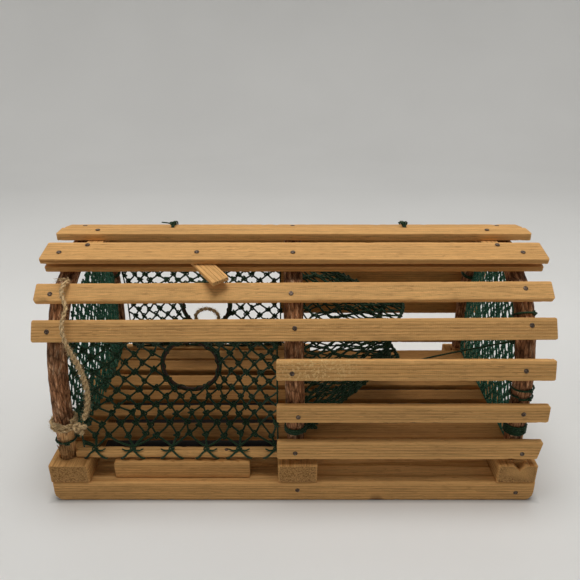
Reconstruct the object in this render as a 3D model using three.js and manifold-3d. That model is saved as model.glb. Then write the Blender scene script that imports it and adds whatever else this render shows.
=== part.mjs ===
// A small half-round wooden trap for crabs and lobsters: two runners, three sills, three bent
// branches as bows, laths nailed round them, knotted twine nets, and a lath door in the top.
// Millimetres, +Z up, +X to the right along the laths, +Y to the rear.
// The origin is on the ground under the middle of the trap.
import * as THREE from 'three';
import { mergeVertices } from 'three/addons/utils/BufferGeometryUtils.js';
import Module from 'manifold-3d';

const wasm = await Module();
wasm.setup();

// Driving dimensions.
const LENGTH = 406.4; // of a full lath and of a runner
const DEPTH = 204.4; // over the two runners
const GAP = 0.3; // between pieces that touch

const RUNNER = { depth: 33, height: 18.7, corner: 5 };
const SILL = { width: 33, height: 17.4, x: { left: -186.7, centre: 3, right: 185.4 } };
const LATH = { width: 17, thickness: 5.5 };

const BOW = { radius: 8, footRadius: 6.8, footTop: 75, steps: 34, sides: 12 };
const BOW_X = { // where each bow stands in its sill, and where its crown is
  left: { foot: -191, crown: -186 },
  centre: { foot: 2, crown: -1 },
  right: { foot: 182.5, crown: 183.5 },
};

const FLOOR_TOP = RUNNER.height + GAP + SILL.height + GAP + LATH.thickness;
const SILL_TOP = RUNNER.height + GAP + SILL.height;

const NET = { thickness: 1.4 };
const TWINE_RADIUS = 0.8;
const JUTE_RADIUS = 1.5;

const finishes = {
  pine: { color: 0xc39a63, roughness: 0.75, metalness: 0 },
  bark: { color: 0x5c3b29, roughness: 0.9, metalness: 0 },
  net: { color: 0x143c2c, roughness: 0.8, metalness: 0 },
  jute: { color: 0xa58960, roughness: 0.95, metalness: 0 },
  steel: { color: 0x8a8580, roughness: 0.45, metalness: 0.9 },
};

const trap = new THREE.Group();

function add(name, finish, geometry, parent = trap) {
  const mesh = new THREE.Mesh(geometry, new THREE.MeshStandardMaterial(finishes[finish]));
  mesh.name = name;
  parent.add(mesh);
  return mesh;
}

function block([x0, x1], [y0, y1], [z0, z1]) {
  const box = new THREE.BoxGeometry(x1 - x0, y1 - y0, z1 - z0);
  return box.translate((x0 + x1) / 2, (y0 + y1) / 2, (z0 + z1) / 2);
}

// A prism along X from an outline of [y, z] points.
function prismX(outline, x0, x1) {
  const shape = new THREE.Shape(outline.map(([y, z]) => new THREE.Vector2(y, z)));
  const prism = new THREE.ExtrudeGeometry(shape, { depth: x1 - x0, bevelEnabled: false });
  return prism.rotateY(Math.PI / 2).rotateX(Math.PI / 2).translate(x0, 0, 0);
}

function solid(geometry) {
  const bare = geometry.clone();
  bare.deleteAttribute('normal');
  bare.deleteAttribute('uv');
  const merged = mergeVertices(bare, 1e-4);
  const mesh = new wasm.Mesh({
    numProp: 3,
    vertProperties: new Float32Array(merged.attributes.position.array),
    triVerts: new Uint32Array(merged.index.array),
  });
  return new wasm.Manifold(mesh);
}

function geometryOf(result) {
  const mesh = result.getMesh();
  const out = new THREE.BufferGeometry();
  out.setAttribute('position', new THREE.BufferAttribute(new Float32Array(mesh.vertProperties), 3));
  out.setIndex(new THREE.BufferAttribute(new Uint32Array(mesh.triVerts), 1));
  return out;
}

// The geometry with each of the tools cut away from it.
function cut(geometry, ...tools) {
  return geometryOf(tools.reduce((left, tool) => left.subtract(solid(tool)), solid(geometry)));
}

function join(...parts) {
  return geometryOf(parts.map(solid).reduce((left, part) => left.add(part)));
}

// A tube along a smooth curve through points of [x, y, z].
function tube(points, radius, steps, sides = 8) {
  const curve = new THREE.CatmullRomCurve3(points.map((p) => new THREE.Vector3(...p)));
  const ring = new THREE.Shape();
  for (let i = 0; i < sides; i += 1) {
    const angle = (2 * Math.PI * i) / sides;
    const [x, y] = [radius * Math.cos(angle), radius * Math.sin(angle)];
    if (i === 0) ring.moveTo(x, y);
    else ring.lineTo(x, y);
  }
  return new THREE.ExtrudeGeometry(ring, { steps, bevelEnabled: false, extrudePath: curve });
}

// ---- The bows: bent branches, seen along X. Half the shape from the sill to the crown, and
// the rear half, which is a little fuller at the shoulder.
const BOW_FRONT = [[-86.5, 60], [-86, 92], [-83, 120], [-71.5, 148], [-56.5, 167.5], [-38, 176.2], [-20, 184.4]];
const BOW_REAR = [[18, 189.3], [38, 183.6], [57, 169.5], [72, 148], [83, 120], [86, 92], [86.5, 60]];
const FOOT_Z = RUNNER.height + GAP + 1.5;
const bowCurve = new THREE.CatmullRomCurve3(
  [[-86.5, FOOT_Z], ...BOW_FRONT, [-1, 189.8], ...BOW_REAR, [86.5, FOOT_Z]].map(
    ([y, z]) => new THREE.Vector3(0, y, z),
  ),
  false,
  'centripetal',
);

// The point of the bow's centre line nearest to (y, z), and the outward direction there.
function onBow(y, z) {
  const target = new THREE.Vector3(0, y, z);
  let best = { far: Infinity };
  for (let u = 0; u <= 1; u += 0.001) {
    const point = bowCurve.getPointAt(Math.min(u, 1));
    const far = point.distanceTo(target);
    if (far < best.far) best = { far, point, u };
  }
  const along = bowCurve.getTangentAt(best.u);
  return { y: best.point.y, z: best.point.z, out: [-along.z, along.y] };
}

function bowRadiusAt(z) {
  const share = THREE.MathUtils.clamp((z - SILL_TOP - 4) / (BOW.footTop - SILL_TOP), 0, 1);
  return BOW.footRadius + share * (BOW.radius - BOW.footRadius);
}

function bowX({ foot, crown }, z) {
  return foot + ((crown - foot) * (z - FOOT_Z)) / (190.5 - FOOT_Z);
}

// A turned rod bent along the bow's curve, thinner at its whittled feet.
function bow(place) {
  const long = bowCurve.getLength();
  const profile = [new THREE.Vector2(0, 0)];
  for (let i = 0; i <= BOW.steps; i += 1) {
    const { z } = bowCurve.getPointAt(i / BOW.steps);
    profile.push(new THREE.Vector2(bowRadiusAt(z), (long * i) / BOW.steps));
  }
  profile.push(new THREE.Vector2(0, long));
  const rod = new THREE.LatheGeometry(profile, BOW.sides);
  const at = rod.attributes.position;
  for (let i = 0; i < at.count; i += 1) {
    const u = THREE.MathUtils.clamp(at.getY(i) / long, 0, 1);
    const centre = bowCurve.getPointAt(u);
    const along = bowCurve.getTangentAt(u);
    const across = at.getX(i);
    at.setXYZ(
      i,
      bowX(place, centre.z) - at.getZ(i),
      centre.y - along.z * across,
      centre.z + along.y * across,
    );
  }
  return rod;
}

// ---- Base: runners, sills and floor.
function runner(front) {
  const half = LENGTH / 2;
  const shape = new THREE.Shape();
  shape.moveTo(-half + RUNNER.corner, 0);
  shape.lineTo(half - RUNNER.corner, 0);
  shape.lineTo(half - 0.8, RUNNER.corner);
  shape.lineTo(half - 0.8, RUNNER.height);
  shape.lineTo(-half + 0.8, RUNNER.height);
  shape.lineTo(-half + 0.8, RUNNER.corner);
  shape.closePath();
  const beam = new THREE.ExtrudeGeometry(shape, { depth: RUNNER.depth, bevelEnabled: false });
  return beam.rotateX(Math.PI / 2).translate(0, front + RUNNER.depth, 0);
}

function sill(side) {
  const x = SILL.x[side];
  const bottom = RUNNER.height + GAP;
  const beam = block([x - SILL.width / 2, x + SILL.width / 2], [-DEPTH / 2, DEPTH / 2], [bottom, SILL_TOP]);
  const holes = [-1, 1].map((end) => {
    const radius = BOW.footRadius + 2 * GAP;
    const hole = new THREE.CylinderGeometry(radius, radius, 40, 20);
    return hole.rotateX(Math.PI / 2).translate(bowX(BOW_X[side], SILL_TOP), end * 86.5, SILL_TOP);
  });
  return cut(beam, ...holes);
}

add('front_runner', 'pine', runner(-DEPTH / 2));
add('rear_runner', 'pine', runner(DEPTH / 2 - RUNNER.depth));
for (const side of ['left', 'centre', 'right']) {
  add(`${side}_sill`, 'pine', sill(side));
  add(`${side}_bow`, 'bark', bow(BOW_X[side]));
}

const FLOOR_LATHS = [[-69.8, -51], [-40, -24], [-14.4, 1.5], [9.2, 27.6], [38, 56.6], [60.4, 77.8]];
const FLOOR_BOTTOM = FLOOR_TOP - LATH.thickness;
FLOOR_LATHS.forEach((span, i) => {
  add(`floor_lath_${i + 1}`, 'pine', block([-201, 200], span, [FLOOR_BOTTOM, FLOOR_TOP]));
});

// The rails that the entrance nets are hemmed to run between the feet of two bows.
const HEM = { near: 83.5, far: 92, x: [-182.8, -8] };
add('front_hem_rail', 'pine', block(HEM.x, [-HEM.far, -HEM.near], [FLOOR_BOTTOM, FLOOR_TOP]));
add('rear_hem_rail', 'pine', block(HEM.x, [HEM.near, HEM.far], [FLOOR_BOTTOM, FLOOR_TOP]));
const KICK_Z = [RUNNER.height + GAP, RUNNER.height + GAP + 16.2];
add('kick_strip', 'pine', block([-150.5, -37], [-96, -90.4], KICK_Z));

// ---- Laths nailed round the bows. A lath lies flat on the bow at the height given.
// skew turns a lath in its own plane, in degrees.
function sideLath({ y, z, width = LATH.width, x, skew = 0 }) {
  const seat = onBow(y, z);
  const away = BOW.radius + GAP + LATH.thickness / 2;
  const middle = (x[0] + x[1]) / 2;
  const lath = new THREE.BoxGeometry(x[1] - x[0], LATH.thickness, width);
  lath.rotateY(THREE.MathUtils.degToRad(-skew));
  lath.rotateX(Math.atan2(seat.out[1], seat.out[0]) - (y < 0 ? Math.PI : 0));
  return lath.translate(middle, seat.y + seat.out[0] * away, seat.z + seat.out[1] * away);
}

const FULL = [-LENGTH / 2, LENGTH / 2];
const PARLOUR = [-14, LENGTH / 2 - 0.4];
const SIDE_LATHS = [ // from the top down
  { y: 57, z: 168, width: 16, x: FULL, skew: 0.3 },
  { y: 71.8, z: 147.2, width: 17.4, x: FULL, skew: 0.3 },
  { y: 83, z: 121, width: 16.8, x: PARLOUR },
  { y: 86, z: 85.5, width: 15.4, x: PARLOUR },
  { y: 86.5, z: 50.5, width: 17.3, x: PARLOUR },
];
SIDE_LATHS.forEach((lath, i) => {
  add(`front_lath_${i + 1}`, 'pine', sideLath({ ...lath, y: -lath.y }));
  add(`rear_lath_${i + 1}`, 'pine', sideLath({ ...lath, skew: 0 }));
});
add('rear_top_lath', 'pine', sideLath({ y: 22, z: 189, width: 18, x: FULL }));

// ---- Nets. Each is a thin wall of the net's outer shape.

// A wall of even thickness through a row of loops, each a closed ring of points.
function shell(loops, thickness) {
  const count = loops[0].length;
  const at = (row, i) => loops[THREE.MathUtils.clamp(row, 0, loops.length - 1)][(i + count) % count];
  const positions = [];
  for (const side of [1, -1]) {
    for (let row = 0; row < loops.length; row += 1) {
      for (let i = 0; i < count; i += 1) {
        const round = at(row, i + 1).clone().sub(at(row, i - 1));
        const along = at(row + 1, i).clone().sub(at(row - 1, i));
        const out = round.cross(along).normalize().multiplyScalar((side * thickness) / 2);
        positions.push(...at(row, i).clone().add(out));
      }
    }
  }
  const index = [];
  const quad = (a, b, c, d) => index.push(a, b, c, a, c, d);
  const layer = loops.length * count;
  for (let i = 0; i < count; i += 1) {
    const j = (i + 1) % count;
    for (let row = 0; row + 1 < loops.length; row += 1) {
      const [a, b] = [row * count, (row + 1) * count];
      quad(a + i, a + j, b + j, b + i);
      quad(layer + a + j, layer + a + i, layer + b + i, layer + b + j);
    }
    const last = (loops.length - 1) * count;
    quad(j, i, layer + i, layer + j);
    quad(last + i, last + j, layer + last + j, layer + last + i);
  }
  const wall = new THREE.BufferGeometry();
  wall.setAttribute('position', new THREE.BufferAttribute(new Float32Array(positions), 3));
  wall.setIndex(index);
  return wall;
}

// A funnel from an outline to a round mouth. The mouth's points stand at the same angles
// round its centre as the outline's; flat() gives a point's two coordinates across the axis.
function funnel(outline, centre, radius, flat, place, rows = 4) {
  const middle = flat(centre);
  const loops = [];
  for (let row = 0; row < rows; row += 1) {
    const share = row / (rows - 1);
    loops.push(outline.map((p) => {
      const [u, v] = flat(p);
      const angle = Math.atan2(v - middle[1], u - middle[0]);
      const end = place(centre, radius * Math.cos(angle), radius * Math.sin(angle));
      return p.clone().lerp(end, share ** 0.85);
    }));
  }
  return shell(loops, NET.thickness);
}

function spread(from, to, steps, point) {
  return Array.from({ length: steps }, (_, i) => point(from + ((to - from) * i) / steps));
}

// The y of the bow's centre line at a height, on the front (-1) or the rear (1).
function bowY(z, end) {
  return onBow(end * 86, z).y;
}

const HEAD = { x: [-176.5, -13.5], z: [FLOOR_TOP + GAP + 0.7, 144] };
const RING = { radius: 24.5, thick: 1.6 };
const MOUTH = { radius: 28, thick: 0.8 };

// The outline of an entrance net, round the space between two bows, the hem rail and a lath.
function headOutline(end) {
  const [x0, x1] = HEAD.x;
  const [z0, z1] = HEAD.z;
  const edge = (x, z) => new THREE.Vector3(x, bowY(z, end), z);
  return [
    ...spread(x0, x1, 9, (x) => edge(x, z0)),
    ...spread(z0, z1, 6, (z) => edge(x1, z)),
    ...spread(x1, x0, 9, (x) => edge(x, z1)),
    ...spread(z1, z0, 6, (z) => edge(x0, z)),
  ];
}

function entranceHead(end, centre, radius) {
  const outline = headOutline(end);
  const flat = (p) => [p.x, p.z];
  const place = (c, u, v) => new THREE.Vector3(c.x + u, c.y, c.z + v);
  return funnel(outline, centre, radius + RING.thick + 3 * GAP + NET.thickness / 2, flat, place);
}

function ringAt(centre, radius, thick) {
  const ring = new THREE.TorusGeometry(radius, thick, 8, 36);
  return ring.rotateX(Math.PI / 2).translate(centre.x, centre.y, centre.z);
}

const FRONT_RING = new THREE.Vector3(-91.6, -33, 90.5);
const REAR_RING = new THREE.Vector3(-87, 48, 111);
const REAR_RING_RADIUS = 22.9;
add('front_head_net', 'net', entranceHead(-1, FRONT_RING, RING.radius));
add('front_head_ring', 'net', ringAt(FRONT_RING, RING.radius, RING.thick));
add('rear_head_net', 'net', entranceHead(1, REAR_RING, REAR_RING_RADIUS));
add('rear_head_ring', 'net', ringAt(REAR_RING, REAR_RING_RADIUS, RING.thick));

// The arch inside a bow, from the floor round to the floor, as points on the bow's plane.
const ARCH_INSET = BOW.radius + GAP + NET.thickness / 2;
const NET_FLOOR = FLOOR_TOP + GAP + 0.7;
function arch(place, steps) {
  const points = [];
  for (let i = 0; i <= steps; i += 1) {
    const u = 0.04 + (0.92 * i) / steps;
    const centre = bowCurve.getPointAt(u);
    const along = bowCurve.getTangentAt(u);
    const y = centre.y + along.z * ARCH_INSET;
    const z = centre.z - along.y * ARCH_INSET;
    if (z > NET_FLOOR + 4) points.push(new THREE.Vector3(bowX(place, z), y, z));
  }
  const floorAt = (y) => new THREE.Vector3(bowX(place, NET_FLOOR), y, NET_FLOOR);
  return [...points, ...spread(77, -77, 8, floorAt), floorAt(-77)];
}

function parlourHead(centre) {
  const flat = (p) => [p.y, p.z];
  const place = (c, u, v) => new THREE.Vector3(c.x, c.y + u, c.z + v);
  const outline = arch(BOW_X.centre, 26);
  return funnel(outline, centre, MOUTH.radius + MOUTH.thick + GAP + NET.thickness / 2, flat, place);
}

const PARLOUR_MOUTH = new THREE.Vector3(99, 0, 107);
const mouthLoop = new THREE.TorusGeometry(MOUTH.radius, MOUTH.thick, 6, 32).rotateY(Math.PI / 2);
mouthLoop.translate(PARLOUR_MOUTH.x, PARLOUR_MOUTH.y, PARLOUR_MOUTH.z);
add('parlour_head_net', 'net', parlourHead(PARLOUR_MOUTH));
add('parlour_mouth_loop', 'net', mouthLoop);
add('parlour_tie_line', 'net', tube(
  [[101.2, -18, 83.5], [127, -38, 104], [152, -58, 123], [173.5, -75, 139]],
  TWINE_RADIUS,
  12,
  6,
));

// A flat net laced inside an end bow.
function endNet(place) {
  const outline = arch(place, 22);
  const shape = new THREE.Shape(outline.map((p) => new THREE.Vector2(p.y, p.z)));
  const plate = new THREE.ExtrudeGeometry(shape, { depth: NET.thickness, bevelEnabled: false });
  const at = plate.attributes.position;
  for (let i = 0; i < at.count; i += 1) {
    const [y, z, x] = [at.getX(i), at.getY(i), at.getZ(i)];
    at.setXYZ(i, bowX(place, z) + x - NET.thickness / 2, y, z);
  }
  return plate;
}

// The jute round the foot of the left bow passes through the mesh there.
const wrapClearance = block([-200, -172], [-100, -72], [60, 80]);
add('left_end_net', 'net', cut(endNet(BOW_X.left), wrapClearance));
add('right_end_net', 'net', endNet(BOW_X.right));

// ---- The door: two top laths on a pair of cleats, with a batten under the front lath.
// Its front lath slopes down to the front. (v, w) are places across that lath from the
// middle of its top face: v towards the rear along the slope, w square to the face.
const DOOR = {
  front: [-48.7, 198.5],
  rear: [-23.4, 203.8],
  thickness: 4.9,
  rearLath: { y: [-6.6, 9.8], z: [198.9, 205.4] },
  cleatX: { left: -169.5, right: 167 },
  cleatWidth: 14,
  cleatThickness: 5,
};
const BUTTON = { thickness: 3.8, width: 14.5, length: 38, tail: 8, turn: 35, x: -78.5, v: -2.5 };
const BATTEN = { v: [-10.4, 2.6], thickness: 4.2 };
const NAIL = { radius: 0.9, head: 2, headThickness: 0.6 };
const slope = Math.atan2(DOOR.rear[1] - DOOR.front[1], DOOR.rear[0] - DOOR.front[0]);
const doorWidth = Math.hypot(DOOR.rear[0] - DOOR.front[0], DOOR.rear[1] - DOOR.front[1]);
const doorMiddle = [(DOOR.front[0] + DOOR.rear[0]) / 2, (DOOR.front[1] + DOOR.rear[1]) / 2];
const buttonTop = -DOOR.thickness - GAP;
const battenTop = buttonTop - BUTTON.thickness - GAP;
const battenBottom = battenTop - BATTEN.thickness;

const onDoor = (v, w) => [
  doorMiddle[0] + v * Math.cos(slope) - w * Math.sin(slope),
  doorMiddle[1] + v * Math.sin(slope) + w * Math.cos(slope),
];

// A geometry made in (x, v, w), put on the door's slope.
function sloped(geometry) {
  return geometry.rotateX(slope).translate(0, doorMiddle[0], doorMiddle[1]);
}

function nailHole(x, v, depth) {
  const hole = new THREE.CylinderGeometry(NAIL.radius + GAP, NAIL.radius + GAP, 2 * depth, 10);
  return sloped(hole.rotateX(Math.PI / 2).translate(x, v, 0));
}

// A nail with its head on the surface, pointing down the w axis.
function nail(long) {
  const profile = [
    [0, -long], [NAIL.radius, -long], [NAIL.radius, GAP], [NAIL.head, GAP],
    [NAIL.head, GAP + NAIL.headThickness], [0, GAP + NAIL.headThickness],
  ].map(([r, y]) => new THREE.Vector2(r, y));
  return new THREE.LatheGeometry(profile, 10).rotateX(Math.PI / 2);
}

const BATTEN_NAILS = { left: -189.5, middle: -1, right: 184.5 };
const battenNailV = -3;
const cleatNailV = 8.2;
const cleatNailY = 2;

const allFrontNails = [
  [BUTTON.x, BUTTON.v],
  ...Object.values(BATTEN_NAILS).map((x) => [x, battenNailV]),
  ...Object.values(DOOR.cleatX).map((x) => [x, cleatNailV]),
];
const frontLath = sloped(block(FULL, [-doorWidth / 2, doorWidth / 2], [-DOOR.thickness, 0]));
add('door_front_lath', 'pine', cut(frontLath, ...allFrontNails.map(([x, v]) => nailHole(x, v, 9))));

const batten = sloped(block([-201.5, 201.5], BATTEN.v, [battenBottom, battenTop]));
const battenHoles = [[BUTTON.x, BUTTON.v], ...Object.values(BATTEN_NAILS).map((x) => [x, battenNailV])];
add('door_front_batten', 'pine', cut(batten, ...battenHoles.map(([x, v]) => nailHole(x, v, 20))));

const rearLath = block(FULL, DOOR.rearLath.y, DOOR.rearLath.z);
const rearHoles = Object.values(DOOR.cleatX).map((x) => {
  const hole = new THREE.CylinderGeometry(NAIL.radius + GAP, NAIL.radius + GAP, 30, 10);
  return hole.rotateX(Math.PI / 2).translate(x, cleatNailY, DOOR.rearLath.z[1]);
});
add('door_rear_lath', 'pine', cut(rearLath, ...rearHoles));

for (const [side, middle] of Object.entries(DOOR.cleatX)) {
  const top = [onDoor(BATTEN.v[1] + 2, buttonTop), onDoor(doorWidth / 2, buttonTop), [9.5, 0]];
  top[1][1] = DOOR.rearLath.z[0] - GAP;
  top[2][1] = DOOR.rearLath.z[0] - GAP;
  const under = top.map(([y, z]) => [y, z - DOOR.cleatThickness]).reverse();
  const half = DOOR.cleatWidth / 2;
  const cleat = prismX([...top, ...under], middle - half, middle + half);
  const rearHole = rearHoles[middle < 0 ? 0 : 1];
  add(`door_cleat_${side}`, 'pine', cut(cleat, nailHole(middle, cleatNailV, 20), rearHole));
  const long = DOOR.thickness + DOOR.cleatThickness;
  add(`door_cleat_nail_front_${side}`, 'steel', sloped(nail(long - 0.8).translate(middle, cleatNailV, 0)));
  const rearNail = nail(10.5).translate(middle, cleatNailY, DOOR.rearLath.z[1]);
  add(`door_cleat_nail_rear_${side}`, 'steel', rearNail);
}
for (const [side, x] of Object.entries(BATTEN_NAILS)) {
  add(`door_batten_nail_${side}`, 'steel', sloped(nail(-battenBottom - 0.8).translate(x, battenNailV, 0)));
}

// The turn-button: a tongue with a whittled tip, turning on a nail between lath and batten.
function turnButton() {
  const { width, length, tail } = BUTTON;
  const half = width / 2;
  const outline = [
    [-half, tail], [-half, -length], [half - 4, -length], [half, -length + 6], [half, tail],
  ];
  const shape = new THREE.Shape(outline.map(([x, v]) => new THREE.Vector2(x, v)));
  const hole = new THREE.Path().absarc(0, 0, NAIL.radius + GAP, 0, 2 * Math.PI);
  shape.holes.push(hole);
  const depth = BUTTON.thickness;
  const tongue = new THREE.ExtrudeGeometry(shape, { depth, bevelEnabled: false, curveSegments: 10 });
  tongue.rotateZ(THREE.MathUtils.degToRad(BUTTON.turn));
  return sloped(tongue.translate(BUTTON.x, BUTTON.v, buttonTop - depth));
}
add('door_button', 'pine', turnButton());
const pivotNail = nail(-battenBottom - 0.8).translate(BUTTON.x, BUTTON.v, 0);
add('door_button_nail', 'steel', sloped(pivotNail));

// ---- Twine ties that the door hinges on: a loop round the rear top lath, with its knot on the
// lath's front edge, clear of the door's rear lath as that swings.
function hingeTie(x, tail) {
  const [y0, y1] = [13.2, 34.2];
  const [z0, z1] = [194.4, 204.6];
  const knotAt = [16.6, z1 + 1.6];
  const loop = tube(
    [[x, y0 + 0.4, z1 + 0.4], [x, 23, z1 + 1.4], [x, y1 + 0.6, z1 - 3], [x, y1 - 1.4, z0 - 2],
      [x + 1, 23, z0 + 1], [x + 1, y0 - 0.2, z0 + 3.6], [x + 0.5, y0 - 0.4, z1 - 1]],
    TWINE_RADIUS,
    28,
    6,
  );
  const knot = new THREE.SphereGeometry(2.2, 10, 8).translate(x, ...knotAt);
  const end = tube([[0, 0, 0.4], ...tail].map(([a, b, c]) => [x + a, knotAt[0] + b, knotAt[1] + c]), 0.7, 8, 6);
  return join(loop, knot, end);
}

add('hinge_tie_left', 'net', hingeTie(-107, [[-5, 0.4, 1], [-10, 0.8, 1.4]]));
add('hinge_tie_right', 'net', hingeTie(98, [[-3, 0.4, 1.2], [-5.5, 0.8, 1]]));

// ---- Jute: a line from the crown of the left bow down to its foot, wrapped at both ends, and
// a small loop on the rear ring that held the bait.
function wrap(place, z0, z1, turns, end) {
  const points = [];
  const steps = Math.round(turns * 10);
  for (let i = 0; i <= steps; i += 1) {
    const z = z0 + ((z1 - z0) * i) / steps;
    const seat = onBow(end * 86, z);
    const angle = (2 * Math.PI * i) / 10;
    const away = bowRadiusAt(z) + GAP + JUTE_RADIUS;
    const across = away * Math.sin(angle);
    points.push([
      bowX(place, z) + away * Math.cos(angle), seat.y + seat.out[0] * across, z + seat.out[1] * across,
    ]);
  }
  return tube(points, JUTE_RADIUS, steps * 2, 6);
}

add('jute_foot_wrap', 'jute', wrap(BOW_X.left, 64, 76, 3, -1));

const JUTE_ROUTE = [
  [-177, -60, 184.5], [-178.6, -66.5, 184.6], [-179, -73.5, 180.4], [-176.5, -77.5, 175],
  [-174.5, -81.5, 170.5], [-175.8, -86, 165.5], [-176.2, -90.5, 159.5], [-175, -93.5, 153],
  [-172.8, -95.5, 146.5], [-169.5, -96, 138], [-167, -94.5, 128], [-165, -93.5, 117],
  [-164, -93, 106], [-164.4, -93.5, 96], [-166, -95, 87], [-168.6, -97, 80],
];
add('jute_line', 'jute', tube(JUTE_ROUTE, JUTE_RADIUS, 40));
add('jute_knot', 'jute', new THREE.SphereGeometry(5.6, 12, 8).translate(-171.6, -100, 73));
add('bait_loop', 'jute', tube(
  [[-97.5, 51.8, 90.5], [-99.3, 52, 97], [-95, 52.4, 102.6], [-87.5, 52.6, 104.8], [-80, 52.4, 102.4],
    [-75.8, 52, 96.5], [-77.5, 51.8, 90.5]],
  JUTE_RADIUS,
  20,
));

export default trap;
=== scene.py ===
"""A small half-round wooden trap: rough pine laths on three bark bows, knotted green nets,
a hinged lath door with a turn-button, and a jute line at the left bow."""

import math
import random

import bmesh
import bpy
import numpy as np
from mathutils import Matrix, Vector, noise


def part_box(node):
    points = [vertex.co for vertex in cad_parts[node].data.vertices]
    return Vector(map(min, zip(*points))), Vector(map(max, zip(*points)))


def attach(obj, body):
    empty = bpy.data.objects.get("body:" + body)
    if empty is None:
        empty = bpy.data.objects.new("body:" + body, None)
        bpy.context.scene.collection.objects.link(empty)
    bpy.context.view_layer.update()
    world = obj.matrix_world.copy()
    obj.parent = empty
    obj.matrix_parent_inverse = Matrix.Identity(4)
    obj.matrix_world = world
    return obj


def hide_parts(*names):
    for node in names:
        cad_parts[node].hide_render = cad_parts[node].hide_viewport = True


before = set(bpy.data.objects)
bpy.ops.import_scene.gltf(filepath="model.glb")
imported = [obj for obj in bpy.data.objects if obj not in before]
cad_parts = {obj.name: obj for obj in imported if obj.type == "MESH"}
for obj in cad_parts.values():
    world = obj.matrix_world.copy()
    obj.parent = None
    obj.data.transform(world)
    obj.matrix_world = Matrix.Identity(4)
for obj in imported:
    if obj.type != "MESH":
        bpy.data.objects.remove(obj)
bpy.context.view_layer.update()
MM = 0.001

# ---- Driving dimensions, in millimetres unless said otherwise, as in the CAD source.
SILL_TOP = 36.4
FOOT_Z = 20.5
BOW_CROWN_Z = 190.5
BOW_RADIUS, FOOT_RADIUS = 8.0, 6.8
BOW_LINE = [
    (-86.5, 20.5), (-86.5, 60), (-86, 92), (-83, 120), (-71.5, 148), (-56.5, 167.5), (-38, 176.2),
    (-20, 184.4), (-1, 189.8), (18, 189.3), (38, 183.6), (57, 169.5), (72, 148), (83, 120), (86, 92),
    (86.5, 60), (86.5, 20.5),
]
BOW_X = {"left": (-191, -186), "centre": (2, -1), "right": (182.5, 183.5)}  # at the foot and the crown
LEG_Y, FOOT_Y = 86, 86.5  # how far a bow's legs stand from the middle: at half height, and in the sills
LEG_TAPER = (40.4, 38.6)  # where a bow's foot starts to thicken, and over how much height
DOOR_SLOPE = math.atan2(5.3, 25.3)  # of the front lath of the door, in radians
NAIL = (1.95, 0.6)  # a nail head's radius and height
TWINE = 0.88  # radius
HEM_TWINE = 0.75
JUTE = 1.5  # radius

HEAD_X, HEAD_Z = (-176.5, -13.5), (43.2, 144)
FRONT_RING, FRONT_RING_RADIUS = (-91.6, -33, 90.5), 24.5
REAR_RING, REAR_RING_RADIUS = (-87, 48, 111), 22.9
RING_THICK = 1.6
MOUTH, MOUTH_RADIUS = (99, 0, 107), 28.0
HEM_STOPS = [-166.5, -134.9, -102.4, -73.2, -45.8, -15.0]  # where the front net is tied to its hem rail
REAR_HEM_STOPS = [-169 + 12.9 * k for k in range(13)]
FRONT_LEVELS = [43.5, 54.5, 65, 75, 82.5, 91, 100, 108, 115, 121.5, 128, 134, 139.5, 145]  # rows of knots
REAR_LEVELS = [43.5, *[51 + 7.05 * k for k in range(14)]]
ARCH_INSET = 9.4  # from a bow's centre line to the edge of its net
NET_FLOOR, END_NET_HEIGHT = 43.2, 140
LEFT_BELLY = 9.0  # how far the left end net hangs inwards
TIE_LINE = [(101.2, -18, 83.5), (127, -38, 104), (152, -58, 123), (173.5, -75, 139)]
JUTE_ROUTE = [
    (-177, -60, 184.5), (-178.6, -66.5, 184.6), (-179, -73.5, 180.4), (-176.5, -77.5, 175),
    (-174.5, -81.5, 170.5), (-175.8, -86, 165.5), (-176.2, -90.5, 159.5), (-175, -93.5, 153),
    (-172.8, -95.5, 146.5), (-169.5, -96, 138), (-167, -94.5, 128), (-165, -93.5, 117),
    (-164, -93, 106), (-164.4, -93.5, 96), (-166, -95, 87), (-168.6, -97, 80),
]
JUTE_KNOT = (-171.6, -100, 73)
BAIT_LOOP = [
    (-97.5, 51.8, 90.5), (-99.3, 52, 97), (-95, 52.4, 102.6), (-87.5, 52.6, 104.8), (-80, 52.4, 102.4),
    (-75.8, 52, 96.5), (-77.5, 51.8, 90.5),
]


# ---- Making objects.
def vector(point):
    return Vector([c * MM for c in point])


def placed(name, data):
    thing = bpy.data.objects.new(name, data)
    bpy.context.scene.collection.objects.link(thing)
    return thing


def dressed(name, mesh, material, smooth=True):
    mesh.materials.clear()
    mesh.materials.append(material)
    for face in mesh.polygons:
        face.use_smooth = smooth
    return placed(name, mesh)


def piece(name, mesh, material, body="frame", smooth=True):
    thing = dressed(name, mesh, material, smooth)
    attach(thing, body)
    return thing


def keep(mesh, key, values):
    """Keeps a number or a vector for each of a mesh's points."""
    data = np.array(values, np.float32)
    kind, way = ("FLOAT_VECTOR", "vector") if data.ndim == 2 else ("FLOAT", "value")
    mesh.attributes.new(key, kind, "POINT").data.foreach_set(way, data.ravel())


def wall(rows, sides):
    """The faces between rows of points, each row a closed ring."""
    return [
        (i * sides + k, i * sides + (k + 1) % sides, (i + 1) * sides + (k + 1) % sides, (i + 1) * sides + k)
        for i in range(rows - 1)
        for k in range(sides)
    ]


def caps_of(rows, sides):
    """The faces that close the first row and the last."""
    return [tuple(reversed(range(sides))), tuple(range((rows - 1) * sides, rows * sides))]


def spoke(angle, a, b):
    """The direction at an angle from a towards b."""
    return math.cos(angle) * a + math.sin(angle) * b


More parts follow.
